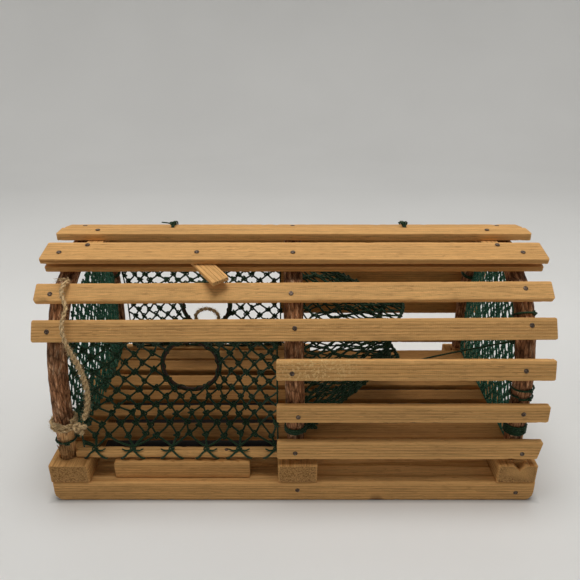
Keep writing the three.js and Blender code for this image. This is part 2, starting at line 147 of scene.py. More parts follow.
class Build:
    """Faces and per-point values gathered into one mesh. Points are in metres."""

    def __init__(self):
        self.points, self.faces, self.values = [], [], {}

    def add(self, points, faces, **values):
        start = len(self.points)
        self.points.extend(points)
        self.faces.extend([tuple(start + i for i in face) for face in faces])
        for key, rows in values.items():
            self.values.setdefault(key, {})[start] = rows

    def mesh(self, name):
        mesh = bpy.data.meshes.new(name)
        mesh.from_pydata([tuple(p) for p in self.points], [], self.faces)
        for key, blocks in self.values.items():
            one = np.array(next(iter(blocks.values()))[0])
            data = np.zeros((len(self.points), *one.shape), np.float32)
            for start, rows in blocks.items():
                data[start : start + len(rows)] = rows
            keep(mesh, key, data)
        mesh.validate()
        return mesh


# ---- Materials. Patterns follow values kept on the meshes: "grain", a place in the piece's own
# timber with x along it; "wear", 1 on worn edges; "end", 1 on sawn ends; "speckle", 1 where bark
# flecks show; "knot", 1 in a knot; a board's tone, -1 dark to 1 pale, its own shade and on the floor
# laths painted shade of the trap's dark inside; and "bare", 1 where a bow has lost its bark.
def shader(name, **settings):
    material = bpy.data.materials.new(name)
    material.use_nodes = True
    tree = material.node_tree
    tree.nodes.clear()
    out = tree.nodes.new("ShaderNodeOutputMaterial")
    surface = tree.nodes.new("ShaderNodeBsdfPrincipled")
    tree.links.new(surface.outputs[0], out.inputs[0])
    for key, value in settings.items():
        surface.inputs[key.replace("_", " ")].default_value = value
    return material, tree, surface


def node(tree, kind, inputs=None, **settings):
    made = tree.nodes.new("ShaderNode" + kind)
    for key, value in settings.items():
        setattr(made, key, value)
    for key, value in (inputs or {}).items():
        if isinstance(value, bpy.types.NodeSocket):
            tree.links.new(value, made.inputs[key])
        else:
            made.inputs[key].default_value = value
    return made


def value_of(tree, name, socket="Fac"):
    return node(tree, "Attribute", attribute_name=name).outputs[socket]


def maths(tree, operation, a, b=0.0):
    return node(tree, "Math", {0: a, 1: b}, operation=operation).outputs[0]


def ramp(tree, factor, *stops):
    made = node(tree, "ValToRGB", {0: factor})
    band = made.color_ramp
    while len(band.elements) < len(stops):
        band.elements.new(0.5)
    for element, (place, colour) in zip(band.elements, stops):
        element.position = place
        element.color = (*colour, 1) if len(colour) == 3 else colour
    return made.outputs[0]


def mix(tree, factor, a, b, blend="MIX"):
    made = node(tree, "Mix", {0: factor}, data_type="RGBA", blend_type=blend)
    for socket, value in ((made.inputs[6], a), (made.inputs[7], b)):
        if isinstance(value, bpy.types.NodeSocket):
            tree.links.new(value, socket)
        else:
            socket.default_value = (*value, 1)
    return made.outputs[2]


def stretched(tree, place, share):
    """A place whose pattern is drawn out along x."""
    return node(tree, "Mapping", {"Vector": place, "Scale": (share, 1, 1)}).outputs[0]


def noise_at(tree, place, scale, detail=3.0, roughness=0.55):
    inputs = {"Vector": place, "Scale": scale, "Detail": detail, "Roughness": roughness}
    return node(tree, "TexNoise", inputs).outputs[0]


def relief(tree, surface, colour, height, strength, depth, rough=None):
    """Gives a surface its colour, its relief and, if it varies, its roughness."""
    bump = node(tree, "Bump", {"Height": height, "Strength": strength, "Distance": depth})
    for key, socket in (("Base Color", colour), ("Normal", bump.outputs[0]), ("Roughness", rough)):
        if socket:
            tree.links.new(socket, surface.inputs[key])


def grey(level):
    return (level, level, level)


def pine(name, light, dark):
    """Rough-sawn softwood: growth rings, fibres, saw marks, worn edges and porous ends."""
    material, tree, surface = shader(name, Specular_IOR_Level=0.15)
    grain = value_of(tree, "grain", "Vector")
    growth = {"Vector": stretched(tree, grain, 0.05), "Scale": 130.0, "Distortion": 3.2, "Detail": 3.0,
              "Detail Scale": 0.55, "Detail Roughness": 0.6}
    rings = node(tree, "TexWave", growth, wave_type="RINGS", rings_direction="X",
                 wave_profile="SAW").outputs["Fac"]
    middle = tuple(0.62 * a + 0.38 * b for a, b in zip(light, dark))
    colour = ramp(tree, rings, (0.0, light), (0.45, light), (0.8, middle), (0.93, dark), (1.0, light))
    patches = noise_at(tree, stretched(tree, grain, 0.25), 38.0, 3.0)
    colour = mix(tree, 0.75, colour, ramp(tree, patches, (0.25, grey(0.80)), (0.5, grey(0.98)),
                                          (0.75, (1.10, 1.08, 1.02))), "MULTIPLY")
    fibres = noise_at(tree, stretched(tree, grain, 0.03), 1500.0, 4.0, 0.7)
    colour = mix(tree, 0.9, colour, ramp(tree, fibres, (0.28, grey(0.55)), (0.5, grey(0.98)),
                                         (0.72, grey(1.30))), "MULTIPLY")
    pores = noise_at(tree, stretched(tree, grain, 0.12), 900.0, 2.0, 0.6)
    specks = ramp(tree, pores, (0.60, grey(0.0)), (0.70, grey(1.0)))
    colour = mix(tree, maths(tree, "MULTIPLY", specks, 0.5), colour, tuple(0.6 * c for c in dark))
    torn = ramp(tree, noise_at(tree, stretched(tree, grain, 0.3), 520.0, 3.0, 0.65),
                (0.60, grey(0.0)), (0.70, grey(1.0)))
    colour = mix(tree, maths(tree, "MULTIPLY", torn, 0.35), colour, tuple(min(1, 1.3 * c) for c in light))
    wear = value_of(tree, "wear")
    colour = mix(tree, maths(tree, "MULTIPLY", wear, 0.45), colour, tuple(min(1, 1.25 * c) for c in light))
    knot = value_of(tree, "knot")
    colour = mix(tree, ramp(tree, knot, (0.0, grey(0)), (1.0, grey(0.85))), colour, (0.17, 0.07, 0.03))
    speckle = value_of(tree, "speckle")
    flecks = ramp(tree, noise_at(tree, grain, 620.0, 2.0), (0.52, grey(0)), (0.60, grey(1)))
    flecks = maths(tree, "MULTIPLY", flecks, maths(tree, "MULTIPLY", speckle, 0.8))
    colour = mix(tree, flecks, colour, (0.86, 0.60, 0.27))
    end = value_of(tree, "end")
    porous = ramp(tree, noise_at(tree, grain, 800.0, 3.0, 0.75), (0.36, tuple(0.40 * c for c in dark)),
                  (0.5, tuple(0.66 * c for c in light)), (0.66, tuple(0.98 * c for c in light)))
    colour = mix(tree, maths(tree, "MULTIPLY", end, 0.92), colour, porous)
    # A board's tone multiplies the colour. On the floor laths it is set low, and the warm dark end of this ramp
    # is painted shade with warm bounce light.
    tone = value_of(tree, "tone")
    shade = node(tree, "Math", {0: tone, 1: 0.5, 2: 0.5}, operation="MULTIPLY_ADD").outputs[0]
    shift = ramp(tree, shade, (0.0, (0.62, 0.54, 0.45)), (0.5, grey(1.0)), (1.0, (1.24, 1.26, 1.30)))
    colour = mix(tree, 1.0, colour, shift, "MULTIPLY")
    rough = ramp(tree, fibres, (0.2, grey(0.86)), (0.8, grey(0.62)))
    saw = node(tree, "TexWave", {"Vector": grain, "Scale": 210.0, "Distortion": 7.0, "Detail": 2.0,
                                 "Detail Scale": 0.7}, bands_direction="X").outputs["Fac"]
    height = maths(tree, "ADD", maths(tree, "MULTIPLY", fibres, 0.75), maths(tree, "MULTIPLY", saw, 0.12))
    height = maths(tree, "ADD", height, maths(tree, "MULTIPLY", rings, 0.12))
    relief(tree, surface, colour, height, 0.55, 0.0006, rough)
    return material


def bark():
    """Flaky reddish-brown bark, bare pale wood where "bare" is 1."""
    material, tree, surface = shader("bark", Specular_IOR_Level=0.2)
    grain = value_of(tree, "grain", "Vector")
    cells = {"Vector": stretched(tree, grain, 0.3), "Scale": 330.0, "Randomness": 1.0}
    plates = node(tree, "TexVoronoi", cells, feature="DISTANCE_TO_EDGE").outputs["Distance"]
    flakes = noise_at(tree, stretched(tree, grain, 0.22), 420.0, 5.0, 0.7)
    colour = ramp(tree, flakes, (0.32, (0.05, 0.022, 0.010)), (0.43, (0.22, 0.102, 0.048)),
                  (0.55, (0.44, 0.225, 0.115)), (0.66, (0.88, 0.64, 0.42)))
    cracks = ramp(tree, plates, (0.0, grey(0.25)), (0.12, grey(1.0)))
    colour = mix(tree, 0.8, colour, cracks, "MULTIPLY")
    patches = noise_at(tree, grain, 70.0, 2.0)
    colour = mix(tree, 0.8, colour, ramp(tree, patches, (0.32, grey(0.5)), (0.66, (1.5, 1.34, 1.2))),
                 "MULTIPLY")
    fibres = noise_at(tree, stretched(tree, grain, 0.04), 900.0, 4.0, 0.7)
    wood = ramp(tree, fibres, (0.3, (0.30, 0.11, 0.04)), (0.5, (0.68, 0.36, 0.14)), (0.7, (0.92, 0.60, 0.30)))
    colour = mix(tree, value_of(tree, "bare"), colour, wood)
    rough = ramp(tree, flakes, (0.2, grey(0.95)), (0.8, grey(0.7)))
    height = maths(tree, "ADD", flakes, maths(tree, "MULTIPLY", cracks, 0.35))
    relief(tree, surface, colour, height, 0.8, 0.0012, rough)
    return material


def fibre_cord(name, shades, pitch, roughness, depth, scale):
    """Twisted cord. "grain" holds x along the cord and y round it, in turns."""
    material, tree, surface = shader(name, Roughness=roughness, Specular_IOR_Level=0.25, Sheen_Weight=0.15)
    grain = value_of(tree, "grain", "Vector")
    parts = node(tree, "SeparateXYZ", {0: grain})
    turns = maths(tree, "MULTIPLY", parts.outputs[0], 1 / pitch)
    phase = maths(tree, "ADD", turns, maths(tree, "MULTIPLY", parts.outputs[1], 2.0))
    ply = maths(tree, "ABSOLUTE", maths(tree, "SINE", maths(tree, "MULTIPLY", phase, math.pi)))
    place = node(tree, "TexCoord").outputs["Object"]
    hairs = noise_at(tree, place, scale, 4.0, 0.65)
    colour = ramp(tree, hairs, (0.28, shades[0]), (0.5, shades[1]), (0.74, shades[2]))
    # Darker in the grooves between the plies: painted shade.
    colour = mix(tree, 0.7, colour, ramp(tree, ply, (0.0, grey(0.45)), (0.6, grey(1.05))), "MULTIPLY")
    height = maths(tree, "ADD", ply, maths(tree, "MULTIPLY", hairs, 0.6))
    relief(tree, surface, colour, height, 0.8, depth)
    return material


def steel():
    """Dull nail heads with brown stains."""
    material, tree, surface = shader("nail_steel", Metallic=0.75, Specular_IOR_Level=0.4)
    place = node(tree, "TexCoord").outputs["Object"]
    stain = noise_at(tree, place, 900.0, 3.0, 0.6)
    colour = ramp(tree, stain, (0.35, (0.06, 0.035, 0.022)), (0.55, (0.16, 0.115, 0.085)),
                  (0.75, (0.34, 0.28, 0.23)))
    relief(tree, surface, colour, stain, 0.4, 0.0003, ramp(tree, stain, (0.3, grey(0.75)), (0.7, grey(0.4))))
    return material


TWINE_LOOK = dict(pitch=0.0022, roughness=0.75, depth=0.0003, scale=1300.0)
CANE = fibre_cord("cane", [(0.018, 0.010, 0.006), (0.055, 0.028, 0.015), (0.12, 0.065, 0.036)],
                  0.02, 0.6, 0.0003, 700.0)
PINE = pine("pine", (0.72, 0.405, 0.150), (0.44, 0.200, 0.055))
BARK = bark()
GREEN = fibre_cord("green_twine", [(0.006, 0.017, 0.006), (0.013, 0.046, 0.017), (0.034, 0.125, 0.045)],
                   **TWINE_LOOK)
# A paler, lit copy of the green twine: painted light on the end nets.
PAINTED_LIGHT_GREEN = fibre_cord("painted_light_green_twine", [(0.010, 0.065, 0.038), (0.026, 0.16, 0.095), (0.09, 0.34, 0.22)],
                        **TWINE_LOOK)
JUTE_FIBRE = fibre_cord("jute_fibre", [(0.36, 0.225, 0.10), (0.72, 0.50, 0.25), (0.95, 0.74, 0.44)],
                        0.0050, 0.9, 0.0005, 1100.0)
STEEL = steel()


# ---- Lines. A line is a list of points; all of these are in millimetres.
def between(a, b, share):
    return tuple(p + (q - p) * share for p, q in zip(a, b))


def smooth_line(points, per=8):
    """A centripetal Catmull-Rom curve through the points."""
    points = [Vector(p) for p in points]
    ends = [2 * points[0] - points[1], *points, 2 * points[-1] - points[-2]]
    line = []
    for i in range(len(points) - 1):
        p0, p1, p2, p3 = ends[i : i + 4]
        d0, d1, d2 = [max((b - a).length, 1e-6) ** 0.5 for a, b in ((p0, p1), (p1, p2), (p2, p3))]
        start = ((p1 - p0) / d0 - (p2 - p0) / (d0 + d1) + (p2 - p1) / d1) * d1
        end = ((p2 - p1) / d1 - (p3 - p1) / (d1 + d2) + (p3 - p2) / d2) * d1
        for k in range(per):
            t = k / per
            line.append(p1 + start * t + (-3 * p1 + 3 * p2 - 2 * start - end) * t**2
                        + (2 * p1 - 2 * p2 + start + end) * t**3)
    return [*line, points[-1]]


def lengths_of(line):
    total = [0.0]
    for a, b in zip(line, line[1:]):
        total.append(total[-1] + (Vector(b) - Vector(a)).length)
    return total


def respaced(line, count):
    """The line as count points, evenly spaced along it."""
    line = [Vector(p) for p in line]
    total = lengths_of(line)
    out, k = [], 0
    for i in range(count):
        want = total[-1] * i / (count - 1)
        while k < len(line) - 2 and total[k + 1] < want:
            k += 1
        span = max(total[k + 1] - total[k], 1e-9)
        out.append(line[k].lerp(line[k + 1], (want - total[k]) / span))
    return out


def direction_at(line, i):
    return (line[min(i + 1, len(line) - 1)] - line[max(i - 1, 0)]).normalized()


def frames_along(line):
    """An untwisted pair of directions across the line at each point."""
    line = [Vector(p) for p in line]
    tangents = [direction_at(line, i) for i in range(len(line))]
    side = tangents[0].orthogonal().normalized()
    frames = []
    for tangent in tangents:
        side = (side - tangent * side.dot(tangent)).normalized()
        frames.append((side.copy(), tangent.cross(side)))
    return frames


def tube(build, line, radius, sides=6, caps=True, phase=0.0):
    """Adds a round tube along a line in millimetres. radius is a number or one per point."""
    line = [Vector(p) for p in line]
    total = lengths_of(line)
    points, grain = [], []
    for i, (centre, (a, b)) in enumerate(zip(line, frames_along(line))):
        r = radius[i] if hasattr(radius, "__len__") else radius
        for k in range(sides):
            angle = 2 * math.pi * k / sides
            points.append((centre + r * spoke(angle, a, b)) * MM)
            fold = 2 * min(k, sides - k) / sides  # rises and falls, so the seam doesn't show
            grain.append((total[i] * MM, fold / 2 + phase, 0.0))
    faces = wall(len(line), sides) + (caps_of(len(line), sides) if caps else [])
    build.add(points, faces, grain=grain)


def coil_round(line, away, pitch, start=0.0, per_turn=10):
    """A helix round a line, away from it, one turn every pitch."""
    total = lengths_of(line)[-1]
    count = max(4, int(per_turn * total / pitch))
    spine = respaced(line, count)
    out = []
    for i, (centre, (a, b)) in enumerate(zip(spine, frames_along(spine))):
        angle = start + 2 * math.pi * (total * i / (count - 1)) / pitch
        out.append(centre + away * spoke(angle, a, b))
    return out


def plied(build, line, radius, pitch, sides=7, swell=lambda share: 1.0):
    """Two strands laid round each other. swell() thickens the cord along its length."""
    total = lengths_of(line)[-1]
    turns = total / pitch
    count = max(8, round(turns * 12))
    spine = respaced(line, count)
    for start in (0.0, math.pi):
        strand, thick = [], []
        for i, (centre, (a, b)) in enumerate(zip(spine, frames_along(spine))):
            share = i / (len(spine) - 1)
            angle = start + 2 * math.pi * turns * share
            size = radius * swell(share)
            strand.append(centre + 0.48 * size * spoke(angle, a, b))
            thick.append(0.56 * size)
        tube(build, strand, thick, sides, phase=start)


def overhand(count):
    """The closed line of an overhand knot, 3 from its middle at the widest."""
    turns = [2 * math.pi * i / count for i in range(count + 1)]
    return [
        (math.sin(t) + 2 * math.sin(2 * t), math.cos(t) - 2 * math.cos(2 * t), -math.sin(3 * t))
        for t in turns
    ]


def little_knot(build, centre, size, across, up, radius):
    """A tight overhand knot."""
    out = across.cross(up)
    line = [Vector(centre) + size / 3 * (x * across + y * up + 1.1 * z * out) for x, y, z in overhand(18)]
    tube(build, line, radius, 5, caps=False)


# ---- The bows' centre line, in the (y, z) plane.
BOW_CURVE = smooth_line([(y, z, 0) for y, z in BOW_LINE], 24)


def nearest_on_bow(target):
    return min(range(len(BOW_CURVE)), key=lambda k: (BOW_CURVE[k] - target).length_squared)


def on_bow(y, z):
    """The nearest point of the bow's centre line, and the way out of the trap there."""
    i = nearest_on_bow(Vector((y, z, 0)))
    along = direction_at(BOW_CURVE, i)
    return BOW_CURVE[i], (-along.y, along.x)


def bow_x(side, z):
    foot, crown = BOW_X[side]
    return foot + (crown - foot) * (z - FOOT_Z) / (BOW_CROWN_Z - FOOT_Z)


def bow_radius(z):
    start, rise = LEG_TAPER
    share = min(1, max(0, (z - start) / rise))
    return FOOT_RADIUS + share * (BOW_RADIUS - FOOT_RADIUS)


def bow_y(z, end):
    return on_bow(end * LEG_Y, z)[0].x


def in_bow(side, y, z):
    """A point of the bows' plane, in one bow of the trap."""
    return Vector((bow_x(side, z), y, z))


# ---- Camera, floor and light.
def camera():
    data = bpy.data.cameras.new("camera")
    data.sensor_width, data.lens = 36, 37.24
    data.clip_start, data.clip_end = 0.01, 20
    thing = placed("camera", data)
    thing.location = (-0.0033, -0.4917, 0.3736)
    thing.rotation_euler = (math.radians(65.5), 0, 0)
    bpy.context.scene.camera = thing


def area_light(name, place, aim, size, power, colour=(1, 1, 1)):
    data = bpy.data.lights.new(name, "AREA")
    data.shape, data.size, data.energy, data.color = "DISK", size, power, colour
    thing = placed(name, data)
    thing.location = place
    thing.rotation_euler = (Vector(aim) - Vector(place)).to_track_quat("-Z", "Y").to_euler()


def backdrop():
    """A pale round floor that sweeps up into a wall all round. Painted shadow darkens the floor under
    the trap, and painted shade darkens it towards the camera and the wall a little far behind. All in metres."""
    material, tree, surface = shader("paper", Roughness=0.9, Specular_IOR_Level=0.1)
    place = node(tree, "TexCoord").outputs["Object"]
    shade = ramp(tree, noise_at(tree, place, 3.0, 2.0), (0.3, (0.78, 0.78, 0.77)), (0.7, (0.81, 0.81, 0.80)))
    away = node(tree, "VectorMath", {0: place, 1: (4.8, 9.4, 0.0)}, operation="MULTIPLY")
    parts = node(tree, "SeparateXYZ", {0: away.outputs[0]})
    across, deep = [maths(tree, "ABSOLUTE", parts.outputs[i]) for i in range(2)]
    widest = maths(tree, "MAXIMUM", across, deep)
    # Painted shadow: the floor is darkened inside the trap's footprint, fading out just past its edges.
    under = ramp(tree, widest, (0.90, grey(0.06)), (1.0, grey(1.0)))
    shade = mix(tree, 1.0, shade, under, "MULTIPLY")
    # Painted shade: darker towards the camera and on the wall far behind.
    depth = maths(tree, "ADD", node(tree, "SeparateXYZ", {0: place}).outputs[1], 1.5)
    near = ramp(tree, maths(tree, "MULTIPLY", depth, 0.3), (0.075, grey(0.20)), (0.33, grey(1.0)),
                (0.52, grey(1.0)), (0.72, grey(0.76)))
    tree.links.new(mix(tree, 1.0, shade, near, "MULTIPLY"), surface.inputs["Base Color"])
    floor, sweep, top, sides = 1.2, 0.6, 3.4, 72
    profile = [(0.02, 0.0), (0.3, 0.0), (floor, 0.0)]
    for i in range(1, 13):
        angle = math.pi / 2 * i / 12
        profile.append((floor + sweep * math.sin(angle), sweep * (1 - math.cos(angle))))
    profile.append((floor + sweep, top))
    turns = [2 * math.pi * k / sides for k in range(sides)]
    build = Build()
    points = [(far * math.cos(angle), far * math.sin(angle), z) for far, z in profile for angle in turns]
    build.add(points, [*wall(len(profile), sides), tuple(range(sides))])
    thing = dressed("backdrop", build.mesh("backdrop"), material)


def lighting():
    world = bpy.data.worlds.new("room")
    world.use_nodes = True
    colour, strength = world.node_tree.nodes["Background"].inputs[:2]
    colour.default_value, strength.default_value = (0.95, 0.97, 1.0, 1), 0.06
    bpy.context.scene.world = world
    area_light("overhead", (0.0, 0.1, 3.0), (0, 0, 0), 1.6, 51.5, (1.0, 0.985, 0.96))
    area_light("front", (-0.35, -1.4, 0.85), (0, 0, 0.1), 1.0, 0.8, (1.0, 0.98, 0.95))
    area_light("wall", (0.0, 0.25, 1.3), (0, 1.0, 0.55), 0.9, 0.7, (1.0, 0.995, 0.99))
    bpy.context.scene.view_settings.view_transform = "Standard"


# ---- Timber.
def box_of(name):
    """A CAD board's centre, its directions along, across and through, and half its size that way."""
    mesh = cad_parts[name].data
    sides = []
    for face in mesh.polygons:
        for side in sides:
            if abs(side[0].dot(face.normal)) > 0.999:
                side[1] += face.area
                break
        else:
            sides.append([face.normal.copy(), face.area])
    sides.sort(key=lambda side: -side[1])
    first = sides[0][0]
    second = next(s[0] for s in sides[1:] if abs(s[0].dot(first)) < 0.02)
    axes = [first, second, first.cross(second)]
    spans = []
    for axis in axes:
        places = [axis.dot(v.co) for v in mesh.vertices]
        spans.append((min(places), max(places)))
    order = sorted(range(3), key=lambda i: -(spans[i][1] - spans[i][0]))
    along, across, through = [axes[i] for i in order]
    if max(along, key=abs) < 0:
        along = -along
    if across.z < -0.01 or (abs(across.z) < 0.01 and across.y > 0):
        across = -across
    through = along.cross(across)
    centre = sum((axes[i] * sum(spans[i]) / 2 for i in range(3)), Vector())
    half = [(spans[i][1] - spans[i][0]) / 2 for i in order]
    return centre, (along, across, through), half


def rounded_section(half_y, half_z, corner, step):
    """Points round a rectangle with rounded corners, and 1 at a corner or 0 on a flat."""
    points = []
    for cy, cz, turn in ((1, 1, 0), (-1, 1, 1), (-1, -1, 2), (1, -1, 3)):
        for k in range(3):
            angle = math.pi / 2 * (turn + k / 2)
            points.append((cy * (half_y - corner) + corner * math.cos(angle),
                           cz * (half_z - corner) + corner * math.sin(angle), 1.0))
    out = []
    for i, point in enumerate(points):
        out.append(point)
        after = points[(i + 1) % len(points)]
        if i % 3 == 2:
            long = math.dist(point[:2], after[:2])
            count = max(2, round(long / step))
            for k in range(1, count):
                y, z, _ = between(point, after, k / count)
                out.append((y, z, 0.0))
    return out


def rounding(deep, radius):
    """How far a rounded corner of this radius stands back, this deep from its edge."""
    if deep >= radius or radius <= 0:
        return 0.0
    rest = min(radius, radius - deep)
    return radius - math.sqrt(max(radius**2 - rest**2, 0.0))


class Timber:
    """A sawn board in place of a CAD one."""

    def __init__(self, name, body="frame", seed=0, tone=0.0, corner=0.7, step=3.6, slant=(0, 0), speckle=None,
                 knots=(), rough=1.0, pith=None, trim=None, toe=0.0, end_round=1.8):
        self.name, self.body, self.seed = name, body, seed
        self.tone, self.corner, self.step, self.slant = tone, corner, step, slant
        self.speckle, self.knots, self.rough, self.trim = speckle, knots, rough, trim
        self.toe, self.round = toe, end_round
        self.centre, self.axes, half = box_of(name)
        self.half = [h / MM for h in half]
        chance = random.Random(seed)
        turn = chance.uniform(0, 2 * math.pi)
        far = chance.uniform(28, 70)
        self.pith = pith or (far * math.cos(turn), far * math.sin(turn))
        self.shift = chance.uniform(0, 900)

    def place(self, x, y, z):
        a, b, c = self.axes
        return self.centre + (a * x + b * y + c * z) * MM

    def worn(self, x, y, z, edge):
        """A surface point after sawing and wear, pushed a little inwards."""
        n = noise.noise(Vector((x * 0.02 + self.shift, y * 0.06, z * 0.1)))
        m = noise.noise(Vector((x * 0.16 + self.shift, y * 0.5 + 7, z * 0.5)))
        inwards = self.rough * (0.10 + 0.10 * n + 0.05 * m)
        if edge:
            chip = noise.noise(Vector((x * 0.22, y + self.shift, z))) + 0.4 * noise.noise(
                Vector((x * 0.9, y + self.shift, z))
            )
            inwards += self.rough * max(0.0, chip - 0.18) * 1.3
        size = math.hypot(y / self.half[1], z / self.half[2]) or 1
        ny, nz = y / self.half[1] / size, z / self.half[2] / size
        if not edge:
            ny, nz = (math.copysign(1, y), 0) if abs(y) / self.half[1] > abs(z) / self.half[2] else (
                0, math.copysign(1, z))
        return y - inwards * ny, z - inwards * nz

    def stations(self):
        half = self.half[0]
        count = max(6, round(2 * half / self.step))
        middle = [-half + 2.6 + (2 * half - 5.2) * i / count for i in range(count + 1)]
        ends = [0.0, 0.25, 0.6, 1.1, 1.8]
        return [*[-half + e for e in ends], *middle, *[half - e for e in reversed(ends)]]

    def along(self, x, y, z):
        side = 1 if x > 0 else 0
        if self.toe:
            up = z if self.axes[2].z > 0 else -z
            x *= 1 - rounding(up + self.half[2], self.toe) / self.half[0]
        near = max(0.0, 1 - (self.half[0] - abs(x)) / 14)
        slant = self.slant[side] * near
        return x + slant * y / self.half[1] - (2 * side - 1) * abs(slant)

    def values(self, x, y, z, edge, end):
        grain = ((x + 0.91 * self.shift) * MM, (y + self.pith[0]) * MM, (z + self.pith[1]) * MM)
        speckle = 0.0
        if self.speckle:
            lo, hi = self.speckle
            speckle = max(0.0, 1 - abs(x - (lo + hi) / 2) / ((hi - lo) / 2)) ** 0.5 if lo < x < hi else 0.0
        knot = 0.0
        for kx, ky, kz, size in self.knots:
            far = math.hypot((x - kx) / 1.7, y - ky, z - kz) / size
            knot = max(knot, min(1.0, max(0.0, 1.6 - far)))
        return grain, edge, end, speckle, knot, self.tone

    def make(self):
        section = rounded_section(self.half[1], self.half[2], self.corner, self.step)
        rows = self.stations()
        build, points, kept = Build(), [], []
        for x in rows:
            deep = self.half[0] - abs(x)
            narrow = 1 - rounding(deep, self.round) / self.half[1]
            thin = 1 - rounding(deep, min(0.6, self.round)) / self.half[2]
            for y, z, edge in section:
                y1, z1 = self.worn(x, y, z, edge)
                y1, z1 = y1 * narrow, z1 * thin
                if self.trim:
                    y1 = self.trim(x, y1)
                x1 = self.along(x, y1, z1)
                points.append(self.place(x1, y1, z1))
                sawn = 1.0 if deep < 1e-6 else 0.0
                kept.append(self.values(x1, y1, z1, max(edge, min(1.0, rounding(deep, 0.8) * 2)), sawn))
        n = len(section)
        faces = wall(len(rows), n)
        for k, flip in ((0, True), (len(rows) - 1, False)):
            start = len(points)
            for i in range(n):
                points.append(points[k * n + i])
                kept.append((kept[k * n + i][0], 0.0, 1.0, 0.0, 0.0, self.tone))
            cap = [start + i for i in range(n)]
            faces.append(tuple(reversed(cap)) if flip else tuple(cap))
        names = ("grain", "wear", "end", "speckle", "knot", "tone")
        build.add(points, faces, **{key: [row[i] for row in kept] for i, key in enumerate(names)})
        made = piece(f"{self.name}_timber", build.mesh(self.name), PINE, self.body)
        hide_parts(self.name)
        return made


def bore(target, *cutters):
    """Cuts shapes out of a piece and applies the cut."""
    for shape in cutters:
        cut = target.modifiers.new("cut", "BOOLEAN")
        cut.operation, cut.object, cut.solver = "DIFFERENCE", shape, "EXACT"
    bpy.context.view_layer.update()
    mesh = bpy.data.meshes.new_from_object(target.evaluated_get(bpy.context.evaluated_depsgraph_get()))
    target.modifiers.clear()
    target.data = mesh
    for shape in cutters:
        bpy.data.objects.remove(shape)


def cutter(points, faces):
    build = Build()
    build.add([vector(point) for point in points], faces)
    return placed("cutter", build.mesh("cutter"))


def round_cutter(centre, radius, low, high):
    x, y = centre
    sides = 28
    turns = [2 * math.pi * k / sides for k in range(sides)]
    points = [(x + radius * math.cos(t), y + radius * math.sin(t), z) for z in (low, high) for t in turns]
    return cutter(points, wall(2, sides) + caps_of(2, sides))


def wedge_cutter(x, y, z, half_width, depth, drop):
    """A prism that cuts a notch from a sill's top front edge."""
    corners = [(-half_width, 1), (half_width, 1), (0, -drop)]
    points = [(x + a, y + b, z + c) for b in (-6, depth) for a, c in corners]
    return cutter(points, [(2, 1, 0), (3, 4, 5), (1, 4, 3, 0), (2, 5, 4, 1), (0, 3, 5, 2)])


def base_timbers():
    runner = dict(corner=1.0, toe=7)
    knots = [(70, -16.5, 8, 2.6), (70, 16.5, 8, 2.6)]
    Timber("front_runner", seed=3, tone=-0.12, knots=knots, pith=(8, 55), **runner).make()
    Timber("rear_runner", seed=4, tone=-0.1, knots=[(-60, 3, -9, 2.6)], **runner).make()
    for seed, side in enumerate(("left", "centre", "right")):
        beam = Timber(f"{side}_sill", seed=20 + seed, tone=-0.4, corner=0.9, step=3.2,
                      pith=(6, 14 + 9 * seed)).make()
        x, radius = bow_x(side, SILL_TOP), FOOT_RADIUS + 0.6
        cutters = [round_cutter((x, end * FOOT_Y), radius, 16, 60) for end in (-1, 1)]
        if side == "right":
            cutters.append(wedge_cutter(187, -102.5, SILL_TOP, 6.5, 7, 5.5))
        bore(beam, *cutters)
    # The floor laths' low tones are painted shade of the dark inside of the trap.
    for i, tone in enumerate((-0.9, -0.8, -0.95, -0.75, -0.85, -0.8)):
        Timber(f"floor_lath_{i + 1}", seed=30 + i, tone=tone).make()
    Timber("front_hem_rail", seed=41, tone=0.05, corner=0.8).make()
    Timber("rear_hem_rail", seed=42, tone=0.0, corner=0.8).make()
    Timber("kick_strip", seed=43, tone=-0.3, corner=0.6).make()


def side_laths():
    front = [
        dict(seed=51, tone=0.10), dict(seed=52, tone=0.0), dict(seed=53, tone=0.08, speckle=(-116, -40)),
        dict(seed=54, tone=0.02), dict(seed=55, tone=0.05, slant=(0, 1.4)),
    ]
    for i, look in enumerate(front):
        Timber(f"front_lath_{i + 1}", **look).make()
        Timber(f"rear_lath_{i + 1}", seed=61 + i, tone=-0.1 + 0.05 * (i % 3)).make()
    Timber("rear_top_lath", seed=71, tone=0.0).make()


def clipped_tip(half_width, start, end):
    """One corner of the button's tip pared away."""

    def trim(x, y):
        if x > start:
            return min(y, half_width - 4.5 * (x - start) / (end - start))
        return y

    return trim


def copied(name, body, seed, along, tone=0.0):
    """A CAD shape with its edges eased, as timber."""
    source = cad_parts[name].data
    shape = bmesh.new()
    shape.from_mesh(source)
    bmesh.ops.dissolve_limit(shape, angle_limit=math.radians(2), verts=shape.verts, edges=shape.edges)
    sharp = [e for e in shape.edges if len(e.link_faces) == 2 and e.calc_face_angle(0) > math.radians(40)]
    bmesh.ops.bevel(shape, geom=sharp, offset=0.00045, segments=2, profile=0.5, affect="EDGES")
    mesh = bpy.data.meshes.new(name)
    shape.to_mesh(mesh)
    shape.free()
    chance = random.Random(seed)
    offset = Vector((chance.uniform(0, 1), 0.03 + 0.01 * chance.random(), 0.02))
    keep(mesh, "grain", [Vector((v.co[along], v.co[1 - along], v.co.z)) + offset for v in mesh.vertices])
    keep(mesh, "tone", [tone] * len(mesh.vertices))
    made = piece(f"{name}_timber", mesh, PINE, body, smooth=False)
    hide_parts(name)
    return made


